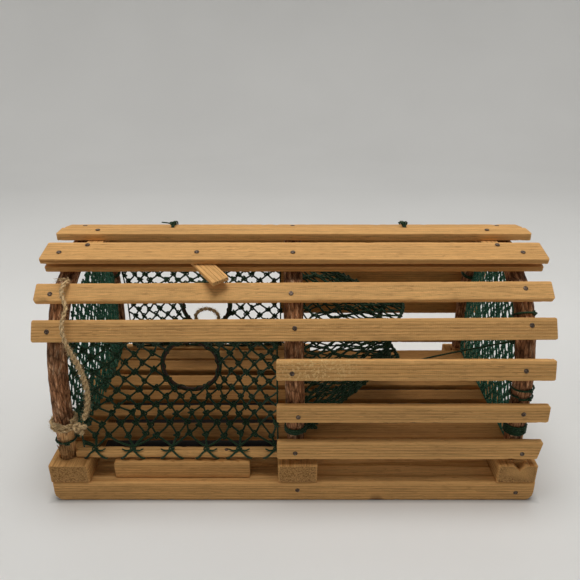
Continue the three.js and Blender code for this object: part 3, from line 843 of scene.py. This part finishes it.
def door_timbers():
    Timber("door_front_lath", "door", seed=81, tone=0.12, rough=0.7).make()
    Timber("door_front_batten", "door", seed=82, tone=-0.2, corner=0.5, rough=0.6).make()
    Timber("door_rear_lath", "door", seed=83, tone=0.08, rough=0.7).make()
    for seed, side in enumerate(("left", "right")):
        copied(f"door_cleat_{side}", "door", 84 + seed, along=1, tone=-0.1)
    button = Timber("door_button", "door_button", seed=88, tone=0.35, corner=0.5, step=1.8, end_round=0.8,
                    trim=clipped_tip(7.25, 17, 23))
    made = button.make()
    pivot = (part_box("door_button_nail")[0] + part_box("door_button_nail")[1]) / 2 / MM
    bore(made, round_cutter((pivot.x, pivot.y), 1.5, 180, 210))


# ---- Bark bows.
def bow(side, seed):
    rows, sides = 190, 30
    spine = [in_bow(side, p.x, p.y) for p in respaced(BOW_CURVE, rows)]
    frames = frames_along(spine)
    total = lengths_of(spine)
    build, points, grain, bare = Build(), [], [], []
    for i, (centre, (a, b)) in enumerate(zip(spine, frames)):
        full = bow_radius(centre.z)
        for k in range(sides):
            angle = 2 * math.pi * k / sides
            c, s = math.cos(angle), math.sin(angle)
            out = c * a + s * b
            own = Vector((total[i] * 0.05 + seed * 9, 1.4 * c, 1.4 * s))
            low = noise.noise(own)
            flake = noise.noise(Vector((total[i] * 0.16 + seed * 9, 3.2 * c, 3.2 * s)))
            fine = noise.noise(Vector((total[i] * 0.5 + seed, 7 * c, 7 * s)))
            foot_edge = SILL_TOP + 7 + 4 * noise.noise(Vector((angle, seed, 2)))
            pale = 1.0 if centre.z < foot_edge else 0.0
            if side == "left" and centre.y < 0 and centre.z < 66 + 6 * low:
                pale = 1.0 if out.x > -0.35 + 0.6 * flake else pale
            r = full - 0.25 + 0.3 * low + 0.35 * flake + 0.12 * fine
            r = min(r, full + 0.12) if not pale else full - 0.75 + 0.25 * flake + 0.12 * fine
            points.append((centre + out * r) * MM)
            grain.append((total[i] * MM, full * c * MM, full * s * MM))
            bare.append(pale)
    build.add(points, wall(rows, sides) + caps_of(rows, sides), grain=grain, bare=bare)
    made = piece(f"{side}_bow_branch", build.mesh(f"{side}_bow"), BARK)
    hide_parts(f"{side}_bow")


def foot_splinters():
    """Slivers of bare wood standing off the whittled foot of the left bow."""
    chance = random.Random(77)
    build = Build()
    for k in range(9):
        angle = math.pi * (1.2 + 0.6 * k / 8)
        low = SILL_TOP + 0.2 + chance.uniform(0, 3)
        high = low + chance.uniform(7, 19)
        line = []
        for share in (0.0, 0.35, 0.7, 1.0):
            z = low + (high - low) * share
            away = bow_radius(z) - 0.3 + 1.6 * share**2
            x, y = bow_x("left", z), bow_y(z, -1)
            line.append(Vector((x + away * math.cos(angle), y + away * math.sin(angle), z)))
        size = chance.uniform(0.6, 1.1)
        tube(build, smooth_line(line, 2), [size * w for w in (0.9, 1.1, 1.1, 1.0, 0.8, 0.5, 0.2)], 4)
    mesh = build.mesh("left_foot_splinters")
    keep(mesh, "bare", [1.0] * len(mesh.vertices))
    piece("left_foot_splinters", mesh, BARK)


# ---- Nails.
def nail_head(build, centre, out, radius=2.0, high=0.7, seed=0):
    """A domed head with a dent in the middle, a little out of round."""
    centre, out = Vector(centre), Vector(out).normalized()
    a = out.orthogonal().normalized()
    b = out.cross(a)
    profile = [(1.0, 0.0), (1.0, 0.55), (0.9, 0.85), (0.6, 1.0), (0.3, 0.82), (0.0, 0.6)]
    sides = 16
    points = []
    for r, h in profile[:-1]:
        for k in range(sides):
            angle = 2 * math.pi * k / sides
            wob = 1 + 0.06 * noise.noise(Vector((math.cos(angle) * 1.5, math.sin(angle) * 1.5, seed * 3.3)))
            points.append((centre + radius * r * wob * spoke(angle, a, b) + out * high * h) * MM)
    points.append((centre + out * high * profile[-1][1]) * MM)
    rings = len(profile) - 1
    last = (rings - 1) * sides
    crown = [(last + k, last + (k + 1) % sides, rings * sides) for k in range(sides)]
    build.add(points, wall(rings, sides) + crown)


LATH_NAILS = {  # (along X, across the lath) from its middle, in the order of the bows
    "front_lath_1": [(-190.7, -1.5), (-2.5, -1.9), (181.5, 1.5)],
    "front_lath_2": [(-190.8, -0.5), (0.4, 1.2), (183.4, 2.6)],
    "front_lath_3": [(-1.7, -2.4), (179.3, -0.2)],
    "front_lath_4": [(3.3, -2.2), (181.9, 0.5)],
    "front_lath_5": [(1.0, -2.3), (186.8, -3.0)],
    "rear_lath_1": [(-189, 0.5), (0, -1), (183, 1)],
    "rear_lath_2": [(-188.5, 1), (0.5, 0.6), (183.6, -1.2)],
    "rear_lath_3": [(-0.6, 1.4), (182.6, 0)],
    "rear_lath_4": [(1.5, -1), (183.4, 1.3)],
    "rear_lath_5": [(1.8, 0.8), (182.8, -0.9)],
    "rear_top_lath": [(-187.5, 0.8), (-1, -0.6), (183, 0.4)],
}
RUNNER_NAILS = [(3.0, 10.9), (186.9, 8.2)]


def lath_nails():
    build = Build()
    count = 0
    for name, places in LATH_NAILS.items():
        centre, (along, across, through), half = box_of(name)
        if through.dot(Vector((0, centre.y, centre.z - 0.09))) < 0:
            through = -through
        for x, v in places:
            shift = (x * MM - centre.x) / along.x
            spot = centre + along * shift + across * v * MM + through * (half[2] - 0.0002)
            nail_head(build, spot / MM, through, *NAIL, count)
            count += 1
    for x, z in RUNNER_NAILS:
        nail_head(build, (x, -101.95, z), (0, -1, 0), *NAIL, count)
        nail_head(build, (x - 1, 101.95, z), (0, 1, 0), *NAIL, count + 1)
        count += 2
    nail_head(build, (-56.5, -88, 41.9), (0, 0, 1), 1.8, 0.6, count)
    made = piece("lath_nails", build.mesh("lath_nails"), STEEL)


def door_nails():
    for seed, name in enumerate(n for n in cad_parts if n.startswith("door_") and "nail" in n):
        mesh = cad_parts[name].data
        slope = 0.0 if "rear" in name else DOOR_SLOPE
        out = Vector((0, -math.sin(slope), math.cos(slope)))
        heights = [v.co.dot(out) for v in mesh.vertices]
        near, far = min(heights), max(heights)
        rim = [v.co for v in mesh.vertices if v.co.dot(out) > far - 0.0001]
        build = Build()
        seat = sum(rim, Vector()) / len(rim) / MM - out * 0.62
        nail_head(build, seat, out, 2.0, 0.66, seed)
        tube(build, [seat, seat - out * ((far - near) / MM - 0.9)], 0.85, 10)
        made = piece(f"{name}_steel", build.mesh(name), STEEL, "door")
        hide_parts(name)


# ---- Knotted nets.
class Net:
    """Diamond meshes of twine over a flat plan, each point of which place() puts in the trap.
    levels are the plan's rows of knots; inside() says whether a point of the plan has net."""

    def __init__(self, name, node_name, wide, levels, place, inside, across, seed=1, loose=0.12,
                 wrap=False, knot=2.0, stops=None, dye_and_painted_light=None):
        self.name, self.node_name, self.place, self.inside = name, node_name, place, inside
        self.chance = random.Random(seed)
        self.columns = max(3, round((wide[1] - wide[0]) / across))
        self.levels, self.rows = levels, len(levels) - 1
        self.wide, self.loose, self.wrap, self.knot, self.stops = wide, loose, wrap, knot, stops
        self.dye_and_painted_light = dye_and_painted_light or GREEN
        self.jitter = {}

    def plan(self, i, j):
        """The plan's point at a knot; odd rows stand half a mesh along."""
        if self.stops and j == 0:
            x = self.wide[0] + (self.wide[1] - self.wide[0]) * i / self.columns
            return (min(self.stops, key=lambda stop: abs(stop - x)), self.levels[0])
        step = (self.wide[1] - self.wide[0]) / self.columns
        rise = self.levels[j] - self.levels[j - 1] if j else 0.0
        key = (i % self.columns if self.wrap else i, j)
        if key not in self.jitter:
            self.jitter[key] = [self.chance.uniform(-1, 1) * self.loose for _ in range(2)]
        a, b = self.jitter[key]
        b = 0 if j == self.rows else b
        return (self.wide[0] + step * (i + 0.5 * (j % 2) + a), self.levels[j] + rise * b)

    def strand(self, build, p, q):
        inside_p, inside_q = self.inside(*p), self.inside(*q)
        if not (inside_p or inside_q):
            return
        if not (inside_p and inside_q):
            if inside_q:
                p, q = q, p
            low, high = 0.0, 1.0
            for _ in range(7):
                half = (low + high) / 2
                low, high = (half, high) if self.inside(*between(p, q, half)) else (low, half)
            if low < 0.06:
                return
            q = between(p, q, low)
        bend = self.chance.uniform(-1, 1) * 0.045
        sideways = ((q[1] - p[1]) * bend, (p[0] - q[0]) * bend)
        line = []
        for k in range(6):
            share = k / 5
            bow_out = 4 * share * (1 - share)
            u, v = between(p, q, share)
            point = Vector(self.place(u + sideways[0] * bow_out, v + sideways[1] * bow_out))
            point.z -= 0.5 * bow_out
            line.append(point)
        tube(build, line, TWINE, 6, caps=False)

    def make(self, border=()):
        build = Build()
        count = self.columns + (0 if self.wrap else 1)
        for j in range(self.rows + 1):
            for i in range(-1 if not self.wrap else 0, count):
                p = self.plan(i, j)
                if self.inside(*p) and not (self.stops and j == 0):
                    self.tie(build, p)
                if j < self.rows:
                    odd = j % 2
                    for other in (i + odd, i + odd - 1):
                        q = self.plan(other, j + 1)
                        if self.wrap:
                            q = self.unwrapped(p, q)
                        self.strand(build, p, q)
        for line in border:
            tube(build, line, HEM_TWINE, 6)
        made = piece(self.name, build.mesh(self.name), self.dye_and_painted_light)
        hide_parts(self.node_name)
        return made

    def unwrapped(self, p, q):
        span = self.wide[1] - self.wide[0]
        while q[0] - p[0] > span / 2:
            q = (q[0] - span, q[1])
        while p[0] - q[0] > span / 2:
            q = (q[0] + span, q[1])
        return q

    def tie(self, build, p):
        at = Vector(self.place(*p))
        side = Vector(self.place(p[0] + 0.5, p[1])) - at
        rise = Vector(self.place(p[0], p[1] + 0.5)) - at
        if side.length < 1e-4 or rise.length < 1e-4:
            return
        side.normalize()
        rise = (rise - side * rise.dot(side)).normalized()
        turn = self.chance.uniform(0, 6.28)
        little_knot(build, at, self.knot, spoke(turn, side, rise), spoke(turn, rise, -side), 0.8)


def head_plan(end, ring, ring_radius):
    """Where an entrance net's points go. Its plan is (x, level); a level's row runs round the
    funnel and drops as it goes in towards the ring."""
    x0, x1 = HEAD_X
    z0, z1 = HEAD_Z
    depth = end * LEG_Y - ring[1]

    def drop(level):
        return -end * (0.62 - 0.37 * min(1, max(0, (level - 105) / 42)))

    def surface(x, z):
        u, v = x - ring[0], z - ring[2]
        far = max(math.hypot(u, v), 1e-6)
        out = min((x1 - ring[0]) / u if u > 0 else (x0 - ring[0]) / min(u, -1e-9),
                  (z1 - ring[2]) / v if v > 0 else (z0 - ring[2]) / min(v, -1e-9))
        share = (far * out - far) / max(far * out - ring_radius, 1e-6)
        share = min(1.0, max(0.0, share))
        rim = bow_y(min(z1, max(z0, ring[2] + v * out)), end)
        return rim + (ring[1] - rim) * share

    def at(x, level, t):
        return end * LEG_Y - depth * t, level + end * drop(level) * abs(depth) * t * (-end)

    def place(x, level):
        low, high = -0.05, 1.0
        for _ in range(18):
            t = (low + high) / 2
            y, z = at(x, level, t)
            low, high = (t, high) if (surface(x, z) - y) * end < 0 else (low, t)
        y, z = at(x, level, (low + high) / 2)
        return Vector((x, y, z))

    def inside(x, level):
        _, z = at(x, level, 1.0)
        clear = math.hypot(x - ring[0], z - ring[2]) >= ring_radius + 0.5
        return clear and x0 - 0.5 <= x <= x1 + 0.5 and z0 - 1 <= level <= z1 + 6

    return place, inside


def entrance(name, node_name, end, ring, ring_radius, levels, seed):
    place, inside = head_plan(end, ring, ring_radius)
    net = Net(name, node_name, HEAD_X, levels, place, inside, across=13.4, seed=seed, loose=0.16, knot=2.9,
              stops=HEM_STOPS if end < 0 else REAR_HEM_STOPS)
    x0, x1 = HEAD_X
    edges = [[place(x, level) for level in np.linspace(levels[0], levels[-1], 12)] for x in (x0, x1)]
    edges.append([place(x, levels[-1]) for x in np.linspace(x0, x1, 12)])
    net.make(border=edges)


def bound_ring(name, node_name, centre, radius, axis, thick, turns=11, slack=lambda angle: 0.0):
    """A bent cane hoop that the net is bound to."""
    a, b = {"y": (Vector((1, 0, 0)), Vector((0, 0, 1))), "x": (Vector((0, 1, 0)), Vector((0, 0, 1)))}[axis]
    c = a.cross(b)
    hoop = Build()
    circle = []
    core_radius = thick * 0.85
    for k in range(61):
        t = 2 * math.pi * k / 60
        r = radius + 0.5 * noise.noise(Vector((math.cos(t) * 1.3, math.sin(t) * 1.3, centre[0])))
        circle.append(Vector(centre) + r * spoke(t, a, b) + c * slack(t))
    tube(hoop, circle, core_radius, 9, caps=False)
    core = piece(f"{name}_hoop", hoop.mesh(f"{name}_hoop"), CANE)
    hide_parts(node_name)
    build = Build()
    chance = random.Random(turns)
    line = []
    for k in range(turns * 8 + 1):
        t = 2 * math.pi * k / (turns * 8)
        out = spoke(t, a, b)
        spin = turns * t + 0.8 * math.sin(5 * t)
        line.append(Vector(centre) + c * slack(t) + radius * out + (core_radius + 0.55) * spoke(spin, out, c))
    tube(build, line, 0.6, 5, caps=False)
    for _ in range(5):
        start = chance.uniform(0, 6.28)
        strand = []
        for k in range(40):
            t = start + 5.6 * k / 39
            middle = Vector(centre) + c * slack(t)
            out = spoke(t, a, b)
            wave = noise.noise(Vector((k * 0.25, start, 1)))
            strand.append(middle + (radius + thick + 0.4 + 1.3 * wave) * out - c * 1.3 * wave)
        tube(build, strand, 0.65, 5)
    made = piece(name, build.mesh(name), GREEN)


def arch_outline():
    """The inside of a bow down to the floor, as (y, z) points from front to rear."""
    spine = respaced(BOW_CURVE, 60)
    points = []
    for i, p in enumerate(spine):
        along = direction_at(spine, i)
        y, z = p.x + along.y * ARCH_INSET, p.y - along.x * ARCH_INSET
        if z > NET_FLOOR:
            points.append((y, z))
    return [(points[0][0], NET_FLOOR), *points, (points[-1][0], NET_FLOOR)]


ARCH = arch_outline()


def in_arch(y, z):
    inside = False
    for (y0, z0), (y1, z1) in zip(ARCH, [*ARCH[1:], ARCH[0]]):
        if (z0 > z) != (z1 > z) and y < y0 + (y1 - y0) * (z - z0) / (z1 - z0):
            inside = not inside
    return inside


def end_net(side, across, rise, seed):
    def place(y, z):
        belly = 0.7 * noise.noise(Vector((y * 0.03, z * 0.03, seed)))
        inward = LEFT_BELLY * (1 - abs(y) / 84) ** 0.35 if side == "left" else 0.0
        return Vector((bow_x(side, z) + belly + inward, y, z))

    def inside(y, z):
        at_jute = side == "left" and y < -74 and 58 < z < 82
        return in_arch(y, z) and not at_jute

    levels = [NET_FLOOR - 0.5 + rise * k for k in range(int(END_NET_HEIGHT / rise))]
    # The end nets take the lit copy of the twine colour: painted light.
    net = Net(f"{side}_end_netting", f"{side}_end_net", (-80, 80), levels, place, inside, across=across,
              seed=seed, loose=0.2, dye_and_painted_light=PAINTED_LIGHT_GREEN)
    edge = [in_bow(side, y, z) for y, z in ARCH]
    if side == "left":
        edge = [p for p in edge if not (p.y < -74 and p.z < 82)]
    base = [in_bow(side, y, NET_FLOOR) for y in (-76, -40, 0, 40, 77)]
    net.make(border=[edge, base])


def mouth_slack(angle):
    """How far the parlour mouth's sides hang back from its upper and lower corners."""
    return 15.0 * math.cos(angle) ** 2


def parlour_net():
    """A cone of meshes from the centre bow to the mouth, gathered tight there."""
    floor = [(77 - 154 * k / 8, NET_FLOOR) for k in range(1, 8)]
    loop = respaced([Vector((y, z, 0)) for y, z in [*ARCH, *floor, ARCH[0]]], 181)

    def place(u, v):
        turn = (u % 1.0) * 180
        k = int(turn)
        p = loop[k].lerp(loop[(k + 1) % 181], turn - k)
        angle = math.atan2(p.y - MOUTH[2], p.x - MOUTH[1])
        hoop = MOUTH_RADIUS * spoke(angle, Vector((0, 1, 0)), Vector((0, 0, 1)))
        mouth = Vector(MOUTH) + hoop - Vector((mouth_slack(angle), 0, 0))
        return in_bow("centre", p.x, p.y).lerp(mouth, v)

    net = Net("parlour_head_netting", "parlour_head_net", (0, 1), [k / 10 for k in range(11)], place,
              lambda u, v: True, across=1 / 40, seed=9, loose=0.2, wrap=True, knot=1.7)
    net.make(border=[[in_bow("centre", p.x, p.y) for p in loop]])


def hem_lacing(end, seed):
    """Strands from the hem knots across the rail's outer face and under it."""
    chance = random.Random(seed)
    build = Build()
    near, middle, far, top, low = end * 83.5, end * 89.5, end * 92, 42.2, 36.7
    for x in HEM_STOPS if end < 0 else REAR_HEM_STOPS:
        little_knot(build, (x, middle, top + 1.3), 2.3, Vector((1, 0, 0)), Vector((0, 0, 1)), 0.7)
        for way in (-1, 1):
            reach = way * chance.uniform(8.5, 11)
            line = [(x, middle, top + 1.4), (x + 0.35 * reach, far + end * 0.7, top + 0.2),
                    (x + 0.7 * reach, far + end * 0.75, low + 1.6), (x + reach, far - end * 0.6, low - 0.8),
                    (x + 1.1 * reach, near + end * 1, low - 0.7)]
            tube(build, smooth_line(line, 5), TWINE, 6)
            if (chance.random() < 0.45) == (way > 0):
                tail = [(x, middle, top + 1.4), (x + way * 5, end * 91, top + 1.2),
                        (x + way * 9, end * 90, top + 2.4)]
                tube(build, smooth_line(tail, 4), [TWINE * 0.8] * 8 + [TWINE * 0.5], 5)
    for _ in range(6 if end > 0 else 0):
        y, z = chance.uniform(85.5, 90.5), chance.uniform(43.4, 47.5)
        line = []
        for k in range(26):
            wave = noise.noise(Vector((k * 0.55, y, z)))
            line.append((-176 + 162 * k / 25, y + 1.6 * wave, z + 1.5 * noise.noise(Vector((k * 0.5, z, y)))))
        tube(build, smooth_line(line, 3), TWINE, 5)
    name = "front" if end < 0 else "rear"
    made = piece(f"{name}_hem_lacing", build.mesh(f"{name}_hem"), GREEN)


LASHINGS = [  # bow, end, height, turns
    ("right", -1, 172, 1), ("right", -1, 104, 1), ("right", -1, 97, 1), ("right", -1, 66, 5),
    ("left", -1, 54, 1), ("centre", -1, 66, 3), ("right", 1, 70, 3), ("right", 1, 104, 2),
    ("right", 1, 137, 2), ("left", 1, 66, 3), ("left", 1, 104, 2), ("left", 1, 137, 2),
    ("centre", 1, 66, 3), ("centre", 1, 104, 2),
]

TUFTS = [  # centre, size, strands
    ((-174, -85.5, 84), 4.6, 5), ((14, -81, 64.5), 6.0, 9), ((-172, -84, 66), 3.2, 3),
]


def lashings():
    build = Build()
    for seed, (side, end, height, turns) in enumerate(LASHINGS):
        pitch = 1.65
        k = nearest_on_bow(Vector((end * LEG_Y, height, 0)))
        span = [BOW_CURVE[n] for n in range(max(0, k - 5), min(len(BOW_CURVE), k + 6))]
        spine = [in_bow(side, p.x, p.y) for p in respaced(span, 3)]
        centre = spine[1]
        along = (spine[2] - spine[0]).normalized()
        line = [centre - along * pitch * turns / 2, centre + along * pitch * turns / 2]
        away = bow_radius(height) + TWINE + 0.1
        tube(build, coil_round(line, away, pitch, seed * 1.7, 16), TWINE, 6)
        out = Vector((0.4, end * 0.9, 0.1)).normalized()
        out = (out - along * out.dot(along)).normalized()
        little_knot(build, centre + out * (away + 0.5), 1.9, along, along.cross(out), 0.6)
    chance = random.Random(61)
    for centre, size, count in TUFTS:
        for _ in range(count):
            start = Vector([chance.uniform(-1, 1) * size for _ in range(3)])
            line = [Vector(centre) + start * 0.5]
            for _ in range(4):
                step = Vector([chance.uniform(-1, 1) * size for _ in range(3)])
                line.append(Vector(centre) + step)
            tube(build, smooth_line(line, 5), TWINE * 0.85, 5)
    made = piece("bow_lashings", build.mesh("bow_lashings"), GREEN)


def tie_line():
    build = Build()
    tube(build, smooth_line(TIE_LINE, 8), HEM_TWINE, 7)
    for place, size in ((TIE_LINE[0], 2.0), (TIE_LINE[-1], 2.2)):
        little_knot(build, place, size, Vector((1, 0, 0)), Vector((0, 0, 1)), 0.6)
    made = piece("parlour_tie_twine", build.mesh("parlour_tie"), GREEN)
    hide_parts("parlour_tie_line")


def hinge_tie(side, x, tail):
    """A loop round the rear top lath, knotted on its front edge."""
    y0, y1, z0, z1 = 13.2, 34.2, 194.4, 204.6
    knot = Vector((x, 16.6, z1 + 1.6))
    build = Build()
    for shift in (-0.7, 0.7):
        loop = [(x + shift, y0 + 0.4, z1 + 0.4), (x + shift, 23, z1 + 1.2), (x + shift, y1 + 0.6, z1 - 3),
                (x + shift, y1 - 1.4, z0 - 2), (x + 1 + shift, 23, z0 + 1), (x + 1 + shift, y0 - 0.2, z0 + 3.6),
                (x + 0.5 + shift, y0 - 0.4, z1 - 1), (x + shift, y0 + 0.4, z1 + 0.4)]
        tube(build, smooth_line(loop, 6), 0.6, 6)
    little_knot(build, knot, 2.7, Vector((1, 0, 0)), Vector((0, 0.5, 0.85)).normalized(), 0.75)
    line = [knot, *[knot + Vector(p) for p in tail]]
    tube(build, smooth_line(line, 6), 0.6, 6)
    made = piece(f"hinge_twine_{side}", build.mesh(f"hinge_{side}"), GREEN)
    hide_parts(f"hinge_tie_{side}")


# ---- Jute.
def fuzz(build, line, count, reach, seed, radius=JUTE):
    """Loose hairs standing off a cord."""
    chance = random.Random(seed)
    spine = respaced(line, max(count, 4))
    for centre, (a, b) in zip(spine, frames_along(spine)):
        out = spoke(chance.uniform(0, 2 * math.pi), a, b)
        along = a.cross(b)
        start = centre + out * radius * 0.8
        lean = along * chance.uniform(-1.6, 1.6)
        far = chance.uniform(0.4, 1.0) * reach
        end = start + out * far + lean
        middle = start + out * far * 0.55 + lean * 0.2
        tube(build, smooth_line([start, middle, end], 2), [0.11, 0.10, 0.09, 0.07, 0.04], 3, caps=False)


def frayed(build, root, seed, count, reach, drop, thick):
    """Loose strands from a cord's end. reach is how far their tips stand off, lowest and highest
    each way; drop is the same for their middles, upwards; and thick is their radius along them."""
    chance = random.Random(seed)
    for _ in range(count):
        end = root + Vector([chance.uniform(*span) for span in reach])
        middle = root.lerp(end, 0.5) + Vector((0, drop[0], chance.uniform(*drop[1:])))
        tube(build, smooth_line([root, middle, end], 3), thick, 4)


def jute_line():
    route = smooth_line(JUTE_ROUTE, 8)
    total = lengths_of(route)[-1]
    route = respaced(route, 120)
    build = Build()
    plied(build, route, JUTE, 10.0, swell=lambda share: 1.12 + 0.42 * min(1, max(0, (share - 0.4) / 0.25)))
    line = piece("jute_line_cord", build.mesh("jute_line"), JUTE_FIBRE)
    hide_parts("jute_line")
    hairs = Build()
    fuzz(hairs, route, 420, 2.2, 5, 1.9)
    fuzz(hairs, route[50:], 420, 3.0, 6, 2.1)
    frayed(hairs, route[0], 15, 34, [(-12, 1), (-3, 3), (-1, 3.5)], (-1, 0, 2),
           [0.3, 0.28, 0.25, 0.22, 0.2, 0.15, 0.1])
    hair = piece("jute_line_hairs", hairs.mesh("jute_hairs"), JUTE_FIBRE)
    knot = jute_knot()
    [p * MM for p in route[::3]]


def jute_knot():
    build = Build()
    centre = Vector(JUTE_KNOT)
    line = [centre + Vector((x * 1.45, -z * 1.7, y * 1.35)) for x, y, z in overhand(60)]
    plied(build, line, 1.75, 8.0, 6)
    fuzz(build, line, 260, 2.6, 8, 1.6)
    made = piece("jute_overhand_knot", build.mesh("jute_knot"), JUTE_FIBRE)
    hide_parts("jute_knot")
    return made


def foot_wrap():
    """Turns of jute round the left bow's front leg, with a frayed end."""
    line = []
    for i in range(43):
        z = 66 + 8 * i / 42
        centre, out = on_bow(-LEG_Y, z)
        angle = 2 * math.pi * 2.2 * i / 42 - 0.6
        away = bow_radius(z) + 0.3 + JUTE
        x = bow_x("left", z) + away * math.cos(angle)
        deep = away * math.sin(angle)
        line.append(Vector((x, centre.x + out[0] * deep, z + out[1] * deep)))
    build = Build()
    plied(build, smooth_line(line, 3), 1.15 * JUTE, 9.0)
    fuzz(build, line, 320, 2.4, 12)
    frayed(build, Vector((-187, -97.0, 74)), 14, 26, [(-8.5, -2.5), (-2.0, 1.2), (-4.5, 4.0)],
           (-0.8, -0.8, 1.0), [0.4, 0.34, 0.3, 0.26, 0.22, 0.18, 0.12])
    made = piece("jute_foot_cord", build.mesh("jute_wrap"), JUTE_FIBRE)
    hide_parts("jute_foot_wrap")


def bait_loop():
    build = Build()
    line = smooth_line(BAIT_LOOP, 8)
    plied(build, line, 1.2 * JUTE, 9.0)
    fuzz(build, line, 260, 2.2, 17)
    made = piece("bait_loop_cord", build.mesh("bait_loop"), JUTE_FIBRE)
    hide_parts("bait_loop")


camera()
jute_line()
backdrop()
lighting()
base_timbers()
side_laths()
door_timbers()
for number, bow_side in enumerate(("left", "centre", "right")):
    bow(bow_side, number + 1)
foot_splinters()
lath_nails()
door_nails()
entrance("front_head_netting", "front_head_net", -1, FRONT_RING, FRONT_RING_RADIUS, FRONT_LEVELS, 21)
entrance("rear_head_netting", "rear_head_net", 1, REAR_RING, REAR_RING_RADIUS, REAR_LEVELS, 22)
bound_ring("front_ring_bound", "front_head_ring", FRONT_RING, FRONT_RING_RADIUS, "y", RING_THICK)
bound_ring("rear_ring_bound", "rear_head_ring", REAR_RING, REAR_RING_RADIUS, "y", RING_THICK)
bound_ring("parlour_mouth_bound", "parlour_mouth_loop", MOUTH, MOUTH_RADIUS, "x", 1.0, 60,
           slack=lambda angle: -mouth_slack(angle))
parlour_net()
end_net("left", 9.4, 6.8, 31)
end_net("right", 9.4, 6.6, 32)
for trap_end in (-1, 1):
    hem_lacing(trap_end, 40 + trap_end)
lashings()
tie_line()
hinge_tie("left", -107, [(-5, 0.4, 1), (-10, 0.8, 1.4)])
hinge_tie("right", 98, [(-3, 0.4, 1.2), (-5.5, 0.8, 1)])
foot_wrap()
bait_loop()
